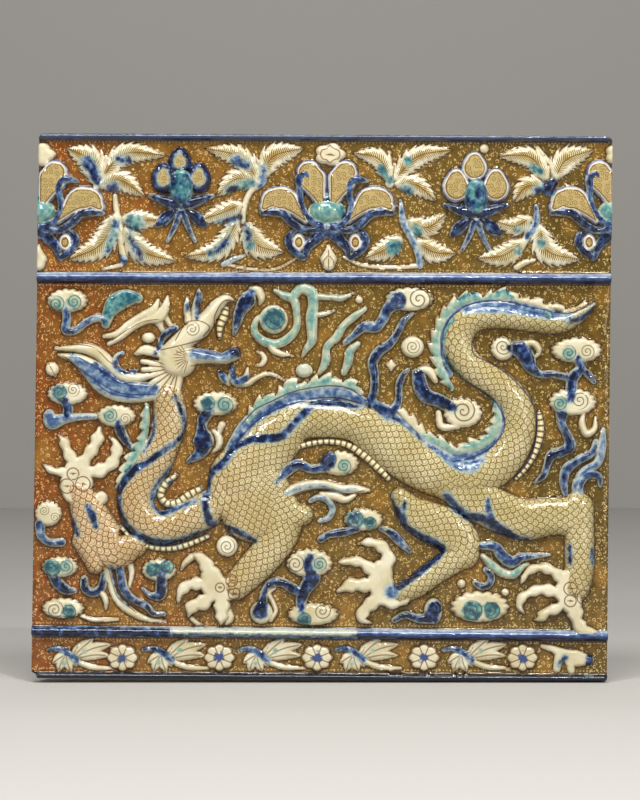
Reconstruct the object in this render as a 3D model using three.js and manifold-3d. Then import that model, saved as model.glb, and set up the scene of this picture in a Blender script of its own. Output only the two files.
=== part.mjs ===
// Frieze tile with a dragon among clouds, one moulded and glazed piece of fritware.
// Millimetres, Z up. The front faces -Y, the flat back lies in the plane Y = 0 and
// the origin is at the middle of the back, where the tile is set on the wall.
import * as THREE from 'three';
import { mergeVertices } from 'three/addons/utils/BufferGeometryUtils.js';
import Module from 'manifold-3d';

const wasm = await Module();
wasm.setup();

// Driving dimensions of the tile body
const slabDepth = 26;
const backInset = 6;
const cornerRadius = 4;
const lip = 1.5;
const corners = {
  topLeft: [-186.5, 180],
  topRight: [188.8, 177.8],
  bottomRight: [185.3, -179.8],
  bottomLeft: [-191.8, -176.6],
};
const chipSize = [3.5, 2.5];

// Heights of the relief above its ground
const height = {
  moulding: 6,
  edgeMoulding: 4.5,
  trunk: 9,
  leg: 8,
  head: 9,
  toe: 6,
  claw: 4,
  mane: 5.5,
  antler: 4.5,
  crest: 5,
  plates: 4,
  flame: 4.5,
  cloud: 5,
  tail: 4.5,
  boss: 8,
  petal: 5,
  sepal: 4,
  leaf: 3.2,
  stem: 2.2,
  rosette: 2.6,
  scroll: 2,
  lobe: 2,
};

// How finely strips are divided, and the widths at which their section changes
const turnPerStep = 0.9;
const longestStep = 34;
const ridgeBelow = 6.5;
const roundedFrom = 14;

// A spine is a row of [x, z, width] that a smooth curve passes through

// Dragon: trunk, neck and tail
const trunkSpines = [
  [[-58, -50, 34], [-48, -38, 38], [-34, -22, 36], [-18, -8, 28], [0, -7, 25], [18, -9, 25],
    [34, -17, 28], [50, -28, 33], [66, -38, 33], [82, -45, 30], [97, -48, 25]],
  [[-102, 7, 20], [-101, -6, 22], [-104, -20, 21], [-111, -34, 24], [-120, -48, 25],
    [-123.5, -62, 24], [-118, -74, 23], [-106, -78.5, 22], [-92, -74, 23], [-78, -67, 24]],
  [[82, -46, 30], [98, -46, 26], [112, -39, 25], [122, -28, 24], [128, -13, 21.5],
    [126, 2, 21], [116, 14, 20], [102, 23, 19], [92, 32, 19], [87.5, 44, 20], [92, 55, 20],
    [104, 60.5, 18], [120, 60.5, 17], [138, 57.5, 15.5], [155, 56, 13.5], [167, 61, 10],
    [177, 68, 3]],
];

// Dragon: shoulder, thighs and shins
const legSpines = [
  [[-46, -30, 34], [-50, -44, 50], [-49, -56, 54], [-46, -66, 44]],
  [[-48, -60, 44], [-34, -66, 34], [-20, -70, 24], [-14, -70, 14]],
  [[-26, -72, 26], [-30, -84, 25], [-38, -96, 23], [-49, -108, 21], [-58, -117, 18]],
  [[-161, -54, 16], [-156, -64, 22], [-151, -76, 27], [-145, -87, 30], [-136, -94, 24],
    [-124, -90, 16]],
  [[-152, -88, 26], [-150, -103, 12]],
  [[50, -58, 12], [58, -68, 22], [68, -74, 26], [79, -79, 28], [89, -87, 26], [91, -95, 22]],
  [[92, -95, 20], [83, -101, 17], [72, -108, 16], [60, -117, 15], [50, -122, 12]],
  [[92, -54, 28], [104, -62, 28], [118, -69, 27], [132, -73, 27], [148, -71, 25],
    [164, -71, 26]],
  [[166, -66, 22], [167, -80, 20], [167.5, -95, 19.5], [167, -108, 19], [165, -118, 18]],
];

// Dragon: toes, four feet in turn
const toeSpines = [
  [[-160, -38, 9], [-166, -32, 7.5], [-169, -26, 7], [-171, -21, 6], [-174, -18, 3]],
  [[-158, -36, 9], [-153, -29, 8], [-149, -22, 8.5], [-147, -13, 7]],
  [[-156, -42, 9], [-147, -41, 9], [-139, -36, 8], [-136, -29, 8], [-137, -22, 5],
    [-141, -19, 2.5]],
  [[-137, -31, 6], [-131, -30, 4]],
  [[-162, -41, 8], [-171, -42, 6], [-178, -41, 5], [-184, -37, 3]],
  [[-162, -40, 16], [-162, -48, 22], [-163, -54, 18]],

  [[-73, -112, 10], [-76, -105, 9], [-80, -99, 9], [-85, -96, 6]],
  [[-74, -115, 9], [-82, -115, 8], [-89, -116, 8], [-94, -121, 6], [-95.5, -127, 4.5]],
  [[-72, -121, 10], [-79, -127, 10], [-86, -130, 9], [-89, -137, 4]],
  [[-69, -120, 11], [-67, -128, 10], [-67, -135, 10], [-67.5, -142, 4]],
  [[-74, -110, 14], [-72, -116, 18], [-66, -119, 16], [-59, -118, 14]],

  [[40, -108, 9], [42, -99, 9], [39, -92, 8], [31, -88, 6], [22, -89, 3]],
  [[37, -110, 9], [31, -106, 8], [24, -101, 7], [17, -100.5, 6], [10, -101, 5]],
  [[36, -114, 10], [27, -116, 9], [18, -116, 9], [9, -120, 5]],
  [[36, -120, 12], [32, -127, 9], [27, -132, 9], [25, -138, 7], [31, -141, 3]],
  [[36, -125, 8], [44, -128, 7], [52, -126.5, 6], [58, -123, 3]],
  [[38, -106, 14], [37, -114, 18], [40, -121, 16]],

  [[158, -118, 9], [155, -111, 8], [148, -106, 7], [140, -104.5, 6], [133, -108, 5],
    [129, -115, 3.5]],
  [[156, -122, 9], [149, -120, 8], [142, -119, 7.5], [135, -121, 6], [130, -124, 6],
    [128, -130, 5], [131, -134.5, 3]],
  [[158, -126, 9], [153, -131, 7], [146, -133.5, 7], [141, -138, 6], [137.5, -139, 2.5]],
  [[160, -126, 10], [164, -133, 10], [166, -140, 9], [170, -145, 8], [178, -146.5, 5]],
  [[161, -112, 14], [160, -120, 18], [162, -128, 14]],
];

// Dragon: loose claws beside the toes
const clawSpines = [
  [[-86.5, -97.5, 5], [-91, -101.5, 4], [-93.5, -106, 1.5]],
  [[-86.5, -138, 3.5], [-83, -141, 3], [-79.5, -142, 1.2]],
  [[-62, -133, 4], [-61, -138, 4.5], [-64, -141, 3]],
];

// Dragon: snout, lower jaw, then teeth, brow spikes, ear and brow
const headSpines = [
  [[-99, 36, 16], [-90, 46, 14], [-81, 53, 14], [-75, 60, 11], [-70, 67, 9], [-64, 71.5, 6],
    [-59.5, 70.5, 2]],
  [[-96, 33, 16], [-86, 34, 12], [-76, 33.5, 9], [-67, 32, 8], [-59, 35.5, 9]],
];
const faceSpines = [
  [[-68.5, 46, 3], [-68, 54, 5], [-65.5, 60, 6], [-64, 65, 4]],
  [[-89, 57, 5], [-90, 66, 4], [-89.5, 73, 1.5]],
  [[-85, 55, 4], [-84, 66, 5], [-82, 73, 5], [-82, 78, 1.5]],
  [[-124, 35, 2], [-117, 38, 7], [-110, 36, 6], [-104, 33, 4]],
  [[-106, 35, 4], [-107, 43, 4], [-103, 49, 5], [-97, 52.5, 4]],
  [[-69, 24, 2], [-66, 20, 6], [-62, 15, 2]],
  [[-60, 27, 3], [-60.5, 20, 5], [-56.5, 17, 6], [-51.5, 20, 4.5], [-50, 26, 2]],
  [[-57, 15, 3], [-50, 16, 4], [-44, 20, 3.5], [-37, 22.5, 3], [-31, 21, 2.5], [-26, 18, 1.2]],
];
const cheek = [-96, 31, 12.5, 11.5];
const antlerSpines = [
  [[-144, 47, 3], [-136, 48.5, 4.5], [-128, 55, 4.5], [-119, 60.5, 5], [-112, 64, 6],
    [-108.5, 71, 2]],
  [[-141, 42, 3], [-133, 46.5, 4], [-125, 53, 4.5], [-116, 57.5, 5], [-108, 60, 8],
    [-104, 66, 6], [-102.5, 73, 2]],
  [[-132, 36, 3], [-136, 34, 3.5], [-136.5, 29.5, 3.5], [-134, 25, 4], [-129, 22.5, 4],
    [-124, 24, 3.5]],
];
const maneSpines = [
  [[-176, 39, 2], [-165, 39.5, 4], [-155, 40, 5], [-146, 36, 6], [-140, 29, 6], [-133, 22, 6],
    [-124, 20, 5], [-116, 22, 4]],
  [[-174, 35, 2], [-162, 32, 8], [-152, 25, 14], [-144, 17, 16], [-134, 11.5, 15],
    [-121, 10.5, 14], [-109, 11, 12]],
];
const ruffCentre = [-97, 29];
const ruffReach = [9, 20];
const ruffStrands = { first: 188, last: 272, count: 5, sweep: -10, width: [5.5, 3] };

// Dragon: serrated crests, ridges of the back, belly plates
const crestSpines = [
  [[-49, -8, 4], [-44, 0, 7], [-38, 5, 7], [-30, 7, 5], [-22, 14, 9], [-14, 13, 6],
    [-5, 16, 8], [5, 17.5, 8], [11, 15, 5], [17, 15.5, 7], [24, 10, 3]],
  [[84, 13, 3], [78, 21, 6], [74.5, 30, 6], [73, 42, 7], [75.5, 52, 6], [80, 62, 6],
    [88, 69, 7], [98, 72.5, 7], [104, 71, 4], [111, 73, 7], [119, 73.5, 8], [130, 70, 4],
    [140, 68.5, 6], [146, 65.5, 3.5], [151, 66.5, 5], [160, 63.5, 2.5], [172, 69, 2]],
  [[112, 5, 3], [113.5, -6, 6], [111, -15, 8], [104, -23, 7], [96, -25, 8], [86, -28, 5],
    [76, -23, 7], [66, -18, 6], [57, -9, 7], [49, -1, 4]],
  [[-116, 2, 3], [-117, -8, 6], [-118, -18, 5], [-123, -29, 8], [-130, -40, 6],
    [-136, -52, 2]],
];
const plateSpines = [
  [[141, -4, 4], [142, -14, 5], [139, -27, 4.5], [133, -38, 4], [126, -46, 3]],
  [[-35, -50, 3], [-32, -38, 4], [-24, -29, 4], [-12, -24, 4], [2, -22, 4], [15, -24, 4.5],
    [26, -31, 5], [35, -39, 5], [42, -46, 4]],
  [[-133, -78, 3], [-125, -86, 3], [-114, -91, 3.5], [-100, -92, 4], [-88, -89, 4],
    [-76, -84, 3]],
  [[-97, -44, 3], [-104, -50, 5], [-107, -57, 5], [-103, -62.5, 5], [-96, -62, 5],
    [-89, -57, 5], [-81, -53, 4]],
];

// Flames, scarves and ribbons that leave the dragon
const flameSpines = [
  [[31, 4, 6], [33, 12, 6], [33, 22, 6], [32, 30, 7], [36, 37, 7], [43, 42, 6], [48, 49, 5],
    [52, 57, 4.5], [58, 62, 2.5]],
  [[31, 4, 6], [38, -1, 9], [45, -2, 8], [49, 6, 5], [49, 14, 5], [51, 20, 5], [55, 25, 3]],
  [[-3, 23, 3], [1, 30, 6], [2, 40, 5], [8, 46, 6], [13, 54, 5], [20, 60, 5], [27, 65, 3]],
  [[13, 23, 4], [16, 31, 6], [17, 37, 6], [22, 42, 4]],
  [[-38, 61, 3], [-44, 58, 4], [-45.5, 50, 5], [-40, 44, 6], [-31, 42, 6], [-23, 46, 6],
    [-18, 53, 5], [-18, 63, 5], [-20, 71, 6], [-27, 74, 5], [-32, 77, 3]],
  [[-21, 72, 6], [-15, 78, 7], [-8.5, 76, 8], [-7, 68, 7], [-8, 60, 8], [-8, 51, 7],
    [-8, 44, 6], [-12, 38, 4], [-14, 34, 2]],
  [[-6, 73, 4], [4, 72.5, 4], [12, 72, 4], [20, 75.5, 1.5]],
  [[-8, 61, 4], [0, 61.5, 3], [7, 64, 1.5]],
  [[-36, 43, 5], [-33, 38, 5], [-28, 35.5, 4], [-20, 34, 1.5]],
  [[178, -22, 4], [176, -29, 5], [167, -34, 6], [159, -40, 7], [157, -48, 6], [158, -56, 4]],
  [[183, -14, 3], [182, -26, 6], [179, -36, 6], [170, -42, 6], [165, -50, 5], [164, -57, 3]],
  [[168, -60, 5], [168, -50, 5], [173, -43.5, 6], [180, -45, 5], [181, -51, 2.5]],
  [[170, -3, 3], [169, -10, 4.5], [172, -17, 5], [177, -14, 4], [178, -6, 2]],
  [[-27, -57, 3], [-21, -54, 7], [-12, -51, 7], [0, -50, 6], [12, -53, 6], [20, -53, 6],
    [29, -54, 3]],
  [[-2, -56, 3], [8, -58, 6], [14, -60, 5], [20, -57, 3]],
  [[-9, -61, 3], [-4, -58.5, 4], [2, -60, 4.5], [5.5, -66, 4.5], [3, -72, 4], [-3, -74, 3]],
  [[102, -90, 5], [112, -91, 7], [117, -97, 8], [123, -101, 8], [129, -98, 6],
    [138, -97, 4], [148, -96, 2]],
  [[104, -97, 4], [110, -103, 6], [117, -108, 6], [124, -109, 6], [130, -104, 4],
    [134, -102, 2]],
  [[106, -106, 4], [109.5, -110, 5], [108, -115.5, 5], [103, -117, 5], [99, -114.5, 4]],
  [[-134.5, -100, 6], [-133, -110, 6], [-131, -119, 6], [-124, -126, 5], [-116, -130, 5],
    [-112, -134.5, 4], [-105, -135, 3]],
  [[-157, -112, 5], [-156.5, -118, 6], [-151.5, -121, 6], [-146, -118, 6], [-144.5, -109, 4]],
  [[-146, -120, 4], [-143, -126, 4], [-143, -132, 1.5]],
];

// Cloud heads as [x, z, half width, half height]
const cloudHeads = [
  [-168, 70.5, 13.5, 8],
  [56, 71.5, 16, 8],
  [165.5, 38, 17, 8.5],
  [163, 4, 16, 9],
  [-168, 9.5, 13.5, 7.5],
  [-136, -5, 13, 7.5],
  [-71, 3, 15, 8],
  [-180.5, -69, 9, 8.5],
  [10, -36, 13, 8.5],
  [26, -73, 13, 7.5],
  [-173, -104, 12, 7],
  [-171, -131, 14, 7],
  [-108, -106, 11.5, 7.5],
  [-9.5, -101.5, 15.5, 9.5],
  [-7, -135, 17, 7.5],
  [102, -130, 19.5, 10.5],
  [91, -3, 13, 10],
  [117, 39, 8, 8],
];
const cloudTails = [
  [[-169, 66, 6], [-168.5, 58, 6], [-169, 51, 6], [-163, 50.5, 5], [-156, 56, 5],
    [-148, 59, 5], [-143, 57, 5]],
  [[-143, 55, 6], [-141, 62, 9], [-136, 69, 13], [-129, 72, 12], [-122, 72, 7]],
  [[-59, 48, 2], [-57, 56, 6], [-55, 63, 8], [-50, 71, 11], [-47, 76, 6]],
  [[-48, 78.5, 3], [-43, 77, 6], [-41, 72, 5], [-42, 68, 2]],
  [[14, 43, 4], [20, 48, 5], [26, 53, 7], [34, 53, 7], [38.5, 58, 7], [42, 65, 8],
    [49, 70, 10]],
  [[62, 22, 9], [63, 15, 10], [67, 8, 10], [75, 5, 9], [84, 0, 9]],
  [[63, 26, 3], [69, 24, 6], [73, 18, 4]],
  [[75, -3, 4], [77, -12, 5], [88, -12, 4]],
  [[122, 39, 8], [129, 38, 12], [133, 32, 11], [136, 26, 8], [142, 22, 5], [150, 22, 5],
    [160, 20, 5]],
  [[131, 43, 3], [138, 42, 5], [141, 37, 4], [138, 33, 2]],
  [[166, 33, 6], [168, 26, 7], [163, 20, 8], [162, 12, 8], [161, 5, 7]],
  [[169, 25, 5], [174, 21, 5], [177, 17, 3]],
  [[156, -3, 9], [155.5, -10, 6], [159, -17, 6], [161, -25, 8], [155, -29, 7],
    [149, -31, 7], [146, -38, 5], [144, -44, 5], [138, -49, 2]],
  [[-173, 8, 8], [-168, 2, 7], [-168, -5, 7]],
  [[-180, -5, 8], [-178.5, -9, 10], [-170, -7, 7], [-162, -6, 5], [-150, -5.5, 4]],
  [[-135, -9, 7], [-133, -16, 7], [-128, -24, 5], [-126, -27, 2]],
  [[-75, -1, 9], [-79, -7, 8], [-80, -13, 7], [-79, -21, 14], [-81, -29, 9], [-89, -35, 3]],
  [[-73, -14, 2], [-69, -19, 5], [-69, -25, 4], [-73, -29, 2]],
  [[-69, -17, 3], [-67, -11, 5]],
  [[-186, -76, 7], [-185, -84, 6], [-180, -88, 5], [-172, -88, 6]],
  [[3, -38, 8], [-8, -40, 6], [-17, -37, 7], [-25, -42, 7], [-31, -49, 3]],
  [[22, -79, 5], [12, -81.5, 6], [3, -83, 5], [-2, -86, 5]],
  [[37, -79, 3], [44, -82, 6], [50, -88, 6], [56, -94, 3]],
  [[-177, -109, 8], [-174, -115, 8], [-169, -119, 7], [-163, -120, 3]],
  [[-159, -136, 2.5], [-152, -138.7, 3], [-143, -138.7, 3], [-135, -138.7, 2]],
  [[-107, -108, 9], [-106.5, -116, 8], [-107.5, -122, 8], [-113, -123, 4.5], [-119, -118, 2]],
  [[-9, -100, 13], [-8.5, -112, 12], [-12, -118, 9], [-14.5, -124, 8], [-15, -133, 6]],
  [[-15, -121, 6], [-21, -118, 7], [-27, -114.5, 6], [-34, -114.5, 6], [-38.5, -119, 5],
    [-40, -126, 6]],
  [[-32, -118, 2], [-36, -121, 3], [-33.5, -127, 3], [-31.5, -133, 3], [-35, -139, 3]],
  [[72, -137, 9], [62, -138, 6], [53, -135.5, 5], [46, -139, 4]],
];

// Discs and other rounded knobs as [x, z, half width, half height]
const knobs = [
  [-33, 58, 9.5, 9.5],
  [-63.5, -90.5, 7, 7],
  [58, 40, 7.5, 7],
  [-41, -134, 7.5, 7.5],
  [71.5, -133, 6, 8.5],
  [-13, 24.5, 6, 4.5],
  [-146, -59, 4.5, 4.5],
  [-164, -43, 4.5, 4.5],
  [-168, -51, 5.5, 5.5],
  [-157.5, -49.5, 5.5, 5.5],
  [-115, 46, 4.5, 3.5],
  [-178, 25.5, 4.5, 4.5],
  [-86, 52, 6, 4],
  [90, -115, 2.8, 3],
];

// Upper border: leaves as [base x, base z, middle x, middle z, tip x, tip z, width]
const leaves = [
  [-149, 147, -153, 162, -168, 170, 19],
  [-146, 150, -131, 166, -104, 165.5, 15],
  [-148, 145, -134, 149, -118, 139, 15],
  [-136, 127, -146, 107, -167, 97, 18],
  [-133, 124, -121, 123, -106, 123, 14],
  [-131, 118, -120, 103, -97, 96, 16],
  [-43, 149, -55, 164, -77, 170, 15],
  [-42, 147, -57, 150, -70, 139, 15],
  [-40, 151, -34, 164, -14, 170, 17],
  [-53, 134, -66, 128, -81, 123, 14],
  [-56, 124, -69, 104, -91, 99, 15],
  [-51, 121, -44, 107, -27, 102, 18],
  [43, 149, 36, 163, 20, 167, 14],
  [46, 149, 60, 164, 83, 169, 15],
  [46, 147, 60, 146, 73, 136, 14],
  [55, 123, 67, 118, 80, 127, 14],
  [60, 109, 72, 102, 86, 101, 15],
  [51, 112, 41, 104, 27, 98, 15],
  [147, 149, 135, 164, 115, 165, 15],
  [151, 150, 158, 162, 176, 169, 17],
  [145, 145, 133, 145, 124, 135, 14],
  [136, 125, 125, 119, 113, 122, 13],
  [131, 110, 118, 100, 101, 98, 15],
  [141, 120, 146, 103, 167, 97, 17],
];
const stemSpines = [
  [[-137, 139, 3], [-136, 130, 4], [-134, 121, 4], [-133, 108, 4], [-131, 97, 5]],
  [[-41, 156, 4], [-40, 149, 5], [-48, 142, 4], [-52, 133, 4], [-53, 122, 3]],
  [[-64, 94, 2], [-48, 91, 2], [-32, 91, 2], [-15, 100, 1.5]],
  [[43, 147, 6], [43, 158, 4], [43, 168, 2]],
  [[50, 136, 2], [52, 122, 5], [57, 112, 5], [61, 103, 4], [63, 93, 4]],
  [[13, 99, 2], [24, 94, 2.5], [42, 92, 2.5], [62, 93, 3]],
  [[147, 143, 8], [151, 150, 4], [148, 160, 3], [140, 171, 2]],
  [[139, 132, 3], [139, 122, 5], [133, 112, 5], [126, 99, 4]],
  [[139, 120, 5], [143, 108, 3]],
];

// Upper border: the open lotus, one side, from its boss outwards
const lotusPitch = 190;
const lotusCentre = [2, 128.5];
const lotusBoss = [12.5, 8.5];
const lotusTallPetal = [[4, 6, 8], [7, 14, 14], [10, 21, 20], [12, 25.5, 17]];
const lotusSidePetal = [[14, -6, 5], [21, 2, 11], [28, 8, 17], [36, 8, 15], [41, 3, 8]];
const lotusSepal = [[6, -11, 6], [16, -11, 4], [24, -6, 5], [31, -1, 6], [41, -1, 3]];
const lotusBract = [[1, -12, 9], [6, -18, 8], [12, -26, 6], [15, -30, 3]];
const lotusHook = [20, -20.5, 6, 8];
const lotusCrown = [2, 37.5, 10, 8];
const lotusDrop = [1, -29.5, 5.7, 8];

// Upper border: the closed bud, one side
const budCentres = [[-94, 145], [99, 140]];
const budBoss = [9.5, 12];
const budTopPetal = [-1, 17, 9.5, 8.5];
const budSidePetal = [13.5, 5, 9.5, 10.5];
const budSepal = [[4, -10, 6], [11, -9, 6], [20, -8, 3]];
const budTail = [[1, -14, 5], [4, -25, 4], [9, -35, 2.5]];

// Lower border: rosettes, and a scroll with a leaf above and a leaf below
const rosetteCentres = [-132, -68.5, -4.6, 65.5, 130];
const rosetteSize = [10.5, 9.2];
const rosetteZ = -163.5;
const scrollStarts = [-181, -118.7, -56, 7.3, 78];
const scrollZ = -158.7;
const scrollStem = [[0, 0, 2], [7, 1, 3.5], [13, -1.5, 4], [20, -7.5, 4], [29, -11, 4],
  [43, -11.8, 2]];
const scrollLeaves = [[29.5, -0.5, 11.5, 7.5], [10.5, -10.5, 8, 7.5]];
const scrollLeafTurn = [0.25, -0.5];
const lastLeaf = [
  [[143, -156, 3], [150, -158, 5], [157, -161, 7], [165, -164, 11], [174, -165, 6]],
  [[154, -162, 6], [152.5, -171, 5]],
  [[161, -165, 7], [162, -172, 5]],
];

// Mouldings as [z at the left, z at the right, width, height]
const mouldings = [
  [85.5, 84.5, 7, height.moulding],
  [-146, -149.5, 7, height.moulding],
  [178, 176.5, 5, height.edgeMoulding],
  [-175.3, -177.3, 5, height.edgeMoulding],
];

// Turns a plain closed geometry into a solid, each corner moved by place(corner)
function solidFrom(geometry, place) {
  geometry.deleteAttribute('normal');
  geometry.deleteAttribute('uv');
  const position = geometry.attributes.position;
  for (let i = 0; i < position.count; i += 1) {
    const spot = place(new THREE.Vector3().fromBufferAttribute(position, i));
    position.setXYZ(i, spot.x, spot.y, spot.z);
  }
  const welded = mergeVertices(geometry, 1e-4);
  return new wasm.Manifold(new wasm.Mesh({
    numProp: 3,
    vertProperties: new Float32Array(welded.attributes.position.array),
    triVerts: new Uint32Array(welded.index.array),
  }));
}

const depthAt = (rise) => -slabDepth - rise;

// Samples a spine; the number of steps follows its length and how much it turns
function sampleSpine(spine) {
  const knots = spine.map(([x, z, width]) => new THREE.Vector3(x, z, width));
  const curve = new THREE.CatmullRomCurve3(knots, false, 'centripetal');
  const coarse = curve.getPoints(knots.length * 6);
  const heading = (i) => Math.atan2(coarse[i].y - coarse[i - 1].y, coarse[i].x - coarse[i - 1].x);
  let turn = 0;
  for (let i = 2; i < coarse.length; i += 1) {
    const change = heading(i) - heading(i - 1);
    turn += Math.abs(THREE.MathUtils.euclideanModulo(change + Math.PI, 2 * Math.PI) - Math.PI);
  }
  const bends = Math.ceil(turn / turnPerStep);
  const lengths = Math.ceil(curve.getLength() / longestStep);
  return curve.getSpacedPoints(Math.max(2, bends, lengths));
}

// Sections of the strips from edge to edge: x in half widths, y in shares of the rise
const ridge = [[-1, 0], [1, 0], [0, 1]];
const flatTop = [[-1, 0], [1, 0], [0.5, 1], [-0.5, 1]];
const rounded = [[-1, 0], [1, 0], [0.64, 0.78], [0, 1], [-0.64, 0.78]];

function sectionFor(width) {
  if (width < ridgeBelow) return ridge;
  return width < roundedFrom ? flatTop : rounded;
}

// A strip laid along stations of [x, z, width], its ends sloping down to the ground
function strip(stations, rise, section = null) {
  const last = stations.length - 1;
  const widest = Math.max(...stations.map((station) => station.z));
  const points = (section ?? sectionFor(widest)).map(([x, y]) => new THREE.Vector2(x, y));
  const plain = new THREE.ExtrudeGeometry(new THREE.Shape(points), {
    depth: 1,
    steps: last,
    bevelEnabled: false,
  });
  return solidFrom(plain, (corner) => {
    const i = Math.round(corner.z * last);
    const here = stations[i];
    const before = stations[Math.max(i - 1, 0)];
    const after = stations[Math.min(i + 1, last)];
    const along = new THREE.Vector2(after.x - before.x, after.y - before.y).normalize();
    const out = corner.x * here.z * 0.5;
    const endSlope = Math.min(rise * 0.6, here.z * 0.3) * corner.y;
    let slide = 0;
    if (i === 0) slide = endSlope;
    if (i === last) slide = -endSlope;
    return new THREE.Vector3(
      here.x + along.x * slide - along.y * out,
      depthAt(rise * corner.y),
      here.y + along.y * slide + along.x * out,
    );
  });
}

// A rounded knob, cloud head or flower; outline(angle) scales its radius
function knob([x, z, halfWidth, halfHeight], rise, sides, outline = () => 1) {
  const crown = 0.62;
  const plain = new THREE.CylinderGeometry(crown, 1, 1, sides, 1);
  const shoulder = 0.75;
  return solidFrom(plain, (corner) => {
    const reach = Math.hypot(corner.x, corner.z);
    const angle = Math.atan2(-corner.z, corner.x);
    const scale = outline(angle);
    const topRise = reach < 1e-6 ? rise : rise * shoulder;
    return new THREE.Vector3(
      x + corner.x * halfWidth * scale,
      depthAt(corner.y > 0 ? topRise : 0),
      z - corner.z * halfHeight * scale,
    );
  });
}

// A pointed leaf with a raised midrib and a toothed edge
function leaf([baseX, baseZ, midX, midZ, tipX, tipZ, width]) {
  const curve = new THREE.CatmullRomCurve3([
    new THREE.Vector3(baseX, baseZ, 0),
    new THREE.Vector3(midX, midZ, 0),
    new THREE.Vector3(tipX, tipZ, 0),
  ]);
  const steps = 6;
  const toothDeep = 0.8;
  const narrowest = 1.2;
  const stations = curve.getSpacedPoints(steps).map((point, i) => {
    const t = i / steps;
    const body = Math.sin(Math.PI * t ** 0.8) ** 0.75;
    const tooth = i % 2 === 1 ? 1 : toothDeep;
    return new THREE.Vector3(point.x, point.y, Math.max(narrowest, width * body * tooth));
  });
  return strip(stations, height.leaf, ridge);
}

const mirrored = (spine, [x, z], side) => spine.map(([dx, dz, width]) => [x + side * dx, z + dz, width]);
const shifted = (spine, x, z) => mirrored(spine, [x, z], 1);
const strips = (spines, rise) => spines.map((spine) => strip(sampleSpine(spine), rise));
const scalloped = (count, depth) => (angle) => 1 - depth + depth * Math.abs(Math.cos(angle * count * 0.5));

function dragon() {
  const [ruffX, ruffZ] = ruffCentre;
  const ruff = [];
  for (let i = 0; i < ruffStrands.count; i += 1) {
    const { first, last, count, sweep, width } = ruffStrands;
    const angle = first + ((last - first) * i) / (count - 1);
    const from = THREE.MathUtils.degToRad(angle);
    const to = THREE.MathUtils.degToRad(angle + sweep);
    ruff.push([
      [ruffX + ruffReach[0] * Math.cos(from), ruffZ + ruffReach[0] * Math.sin(from), width[0]],
      [ruffX + ruffReach[1] * Math.cos(to), ruffZ + ruffReach[1] * Math.sin(to), width[1]],
    ]);
  }
  return [
    ...strips(trunkSpines, height.trunk),
    ...strips(legSpines, height.leg),
    ...strips(toeSpines, height.toe),
    ...strips(clawSpines, height.claw),
    ...strips(headSpines, height.head),
    ...strips(faceSpines, height.antler),
    knob(cheek, height.head, 8),
    ...strips(ruff, height.mane),
    ...strips(antlerSpines, height.antler),
    ...strips(maneSpines, height.mane),
    ...strips(crestSpines, height.crest),
    ...strips(plateSpines, height.plates),
    ...strips(flameSpines, height.flame),
  ];
}

function clouds() {
  const cloudSides = 10;
  const headOutline = scalloped(5, 0.14);
  return [
    ...cloudHeads.map((head) => knob(head, height.cloud, cloudSides, headOutline)),
    ...strips(cloudTails, height.tail),
    ...knobs.map((row) => knob(row, height.cloud, row[2] > 5 ? 8 : 6)),
  ];
}

function lotus(x, z, sides) {
  const parts = [
    knob([x, z, ...lotusBoss], height.boss, 8),
    knob([x + lotusCrown[0], z + lotusCrown[1], lotusCrown[2], lotusCrown[3]], height.sepal, 6),
    knob([x + lotusDrop[0], z + lotusDrop[1], lotusDrop[2], lotusDrop[3]], height.sepal, 6),
  ];
  for (const side of sides) {
    const place = (spine) => sampleSpine(mirrored(spine, [x, z], side));
    parts.push(strip(place(lotusTallPetal), height.petal));
    parts.push(strip(place(lotusSidePetal), height.petal));
    parts.push(strip(place(lotusSepal), height.sepal));
    parts.push(strip(place(lotusBract), height.sepal));
    const [hookX, hookZ, hookWide, hookHigh] = lotusHook;
    parts.push(knob([x + side * hookX, z + hookZ, hookWide, hookHigh], height.sepal, 6));
  }
  return parts;
}

function bud([x, z]) {
  const parts = [knob([x, z, ...budBoss], height.boss, 8)];
  const [topX, topZ, topWide, topHigh] = budTopPetal;
  const [sideX, sideZ, sideWide, sideHigh] = budSidePetal;
  parts.push(knob([x + topX, z + topZ, topWide, topHigh], height.petal, 8));
  for (const side of [-1, 1]) {
    parts.push(knob([x + side * sideX, z + sideZ, sideWide, sideHigh], height.petal, 8));
    for (const spine of [budSepal, budTail]) {
      parts.push(strip(sampleSpine(mirrored(spine, [x, z], side)), height.sepal));
    }
  }
  return parts;
}

function upperBorder() {
  const [lotusX, lotusZ] = lotusCentre;
  return [
    ...lotus(lotusX, lotusZ, [-1, 1]),
    ...lotus(lotusX - lotusPitch, lotusZ, [1]),
    ...lotus(lotusX + lotusPitch, lotusZ, [-1]),
    ...budCentres.flatMap(bud),
    ...leaves.map(leaf),
    ...strips(stemSpines, height.stem),
  ];
}

function lowerBorder() {
  const petals = scalloped(8, 0.22);
  return [
    ...rosetteCentres.map((x) => knob([x, rosetteZ, ...rosetteSize], height.rosette, 16, petals)),
    ...scrollStarts.map((x) => strip(sampleSpine(shifted(scrollStem, x, scrollZ)), height.scroll)),
    ...scrollStarts.flatMap((x) => scrollLeaves.map(([dx, dz, wide, high], i) => {
      const lobed = (angle) => 0.7 + 0.3 * Math.cos(3 * (angle - scrollLeafTurn[i]));
      return knob([x + dx, scrollZ + dz, wide, high], height.lobe, 9, lobed);
    })),
    ...strips(lastLeaf, height.lobe),
  ];
}

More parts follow.
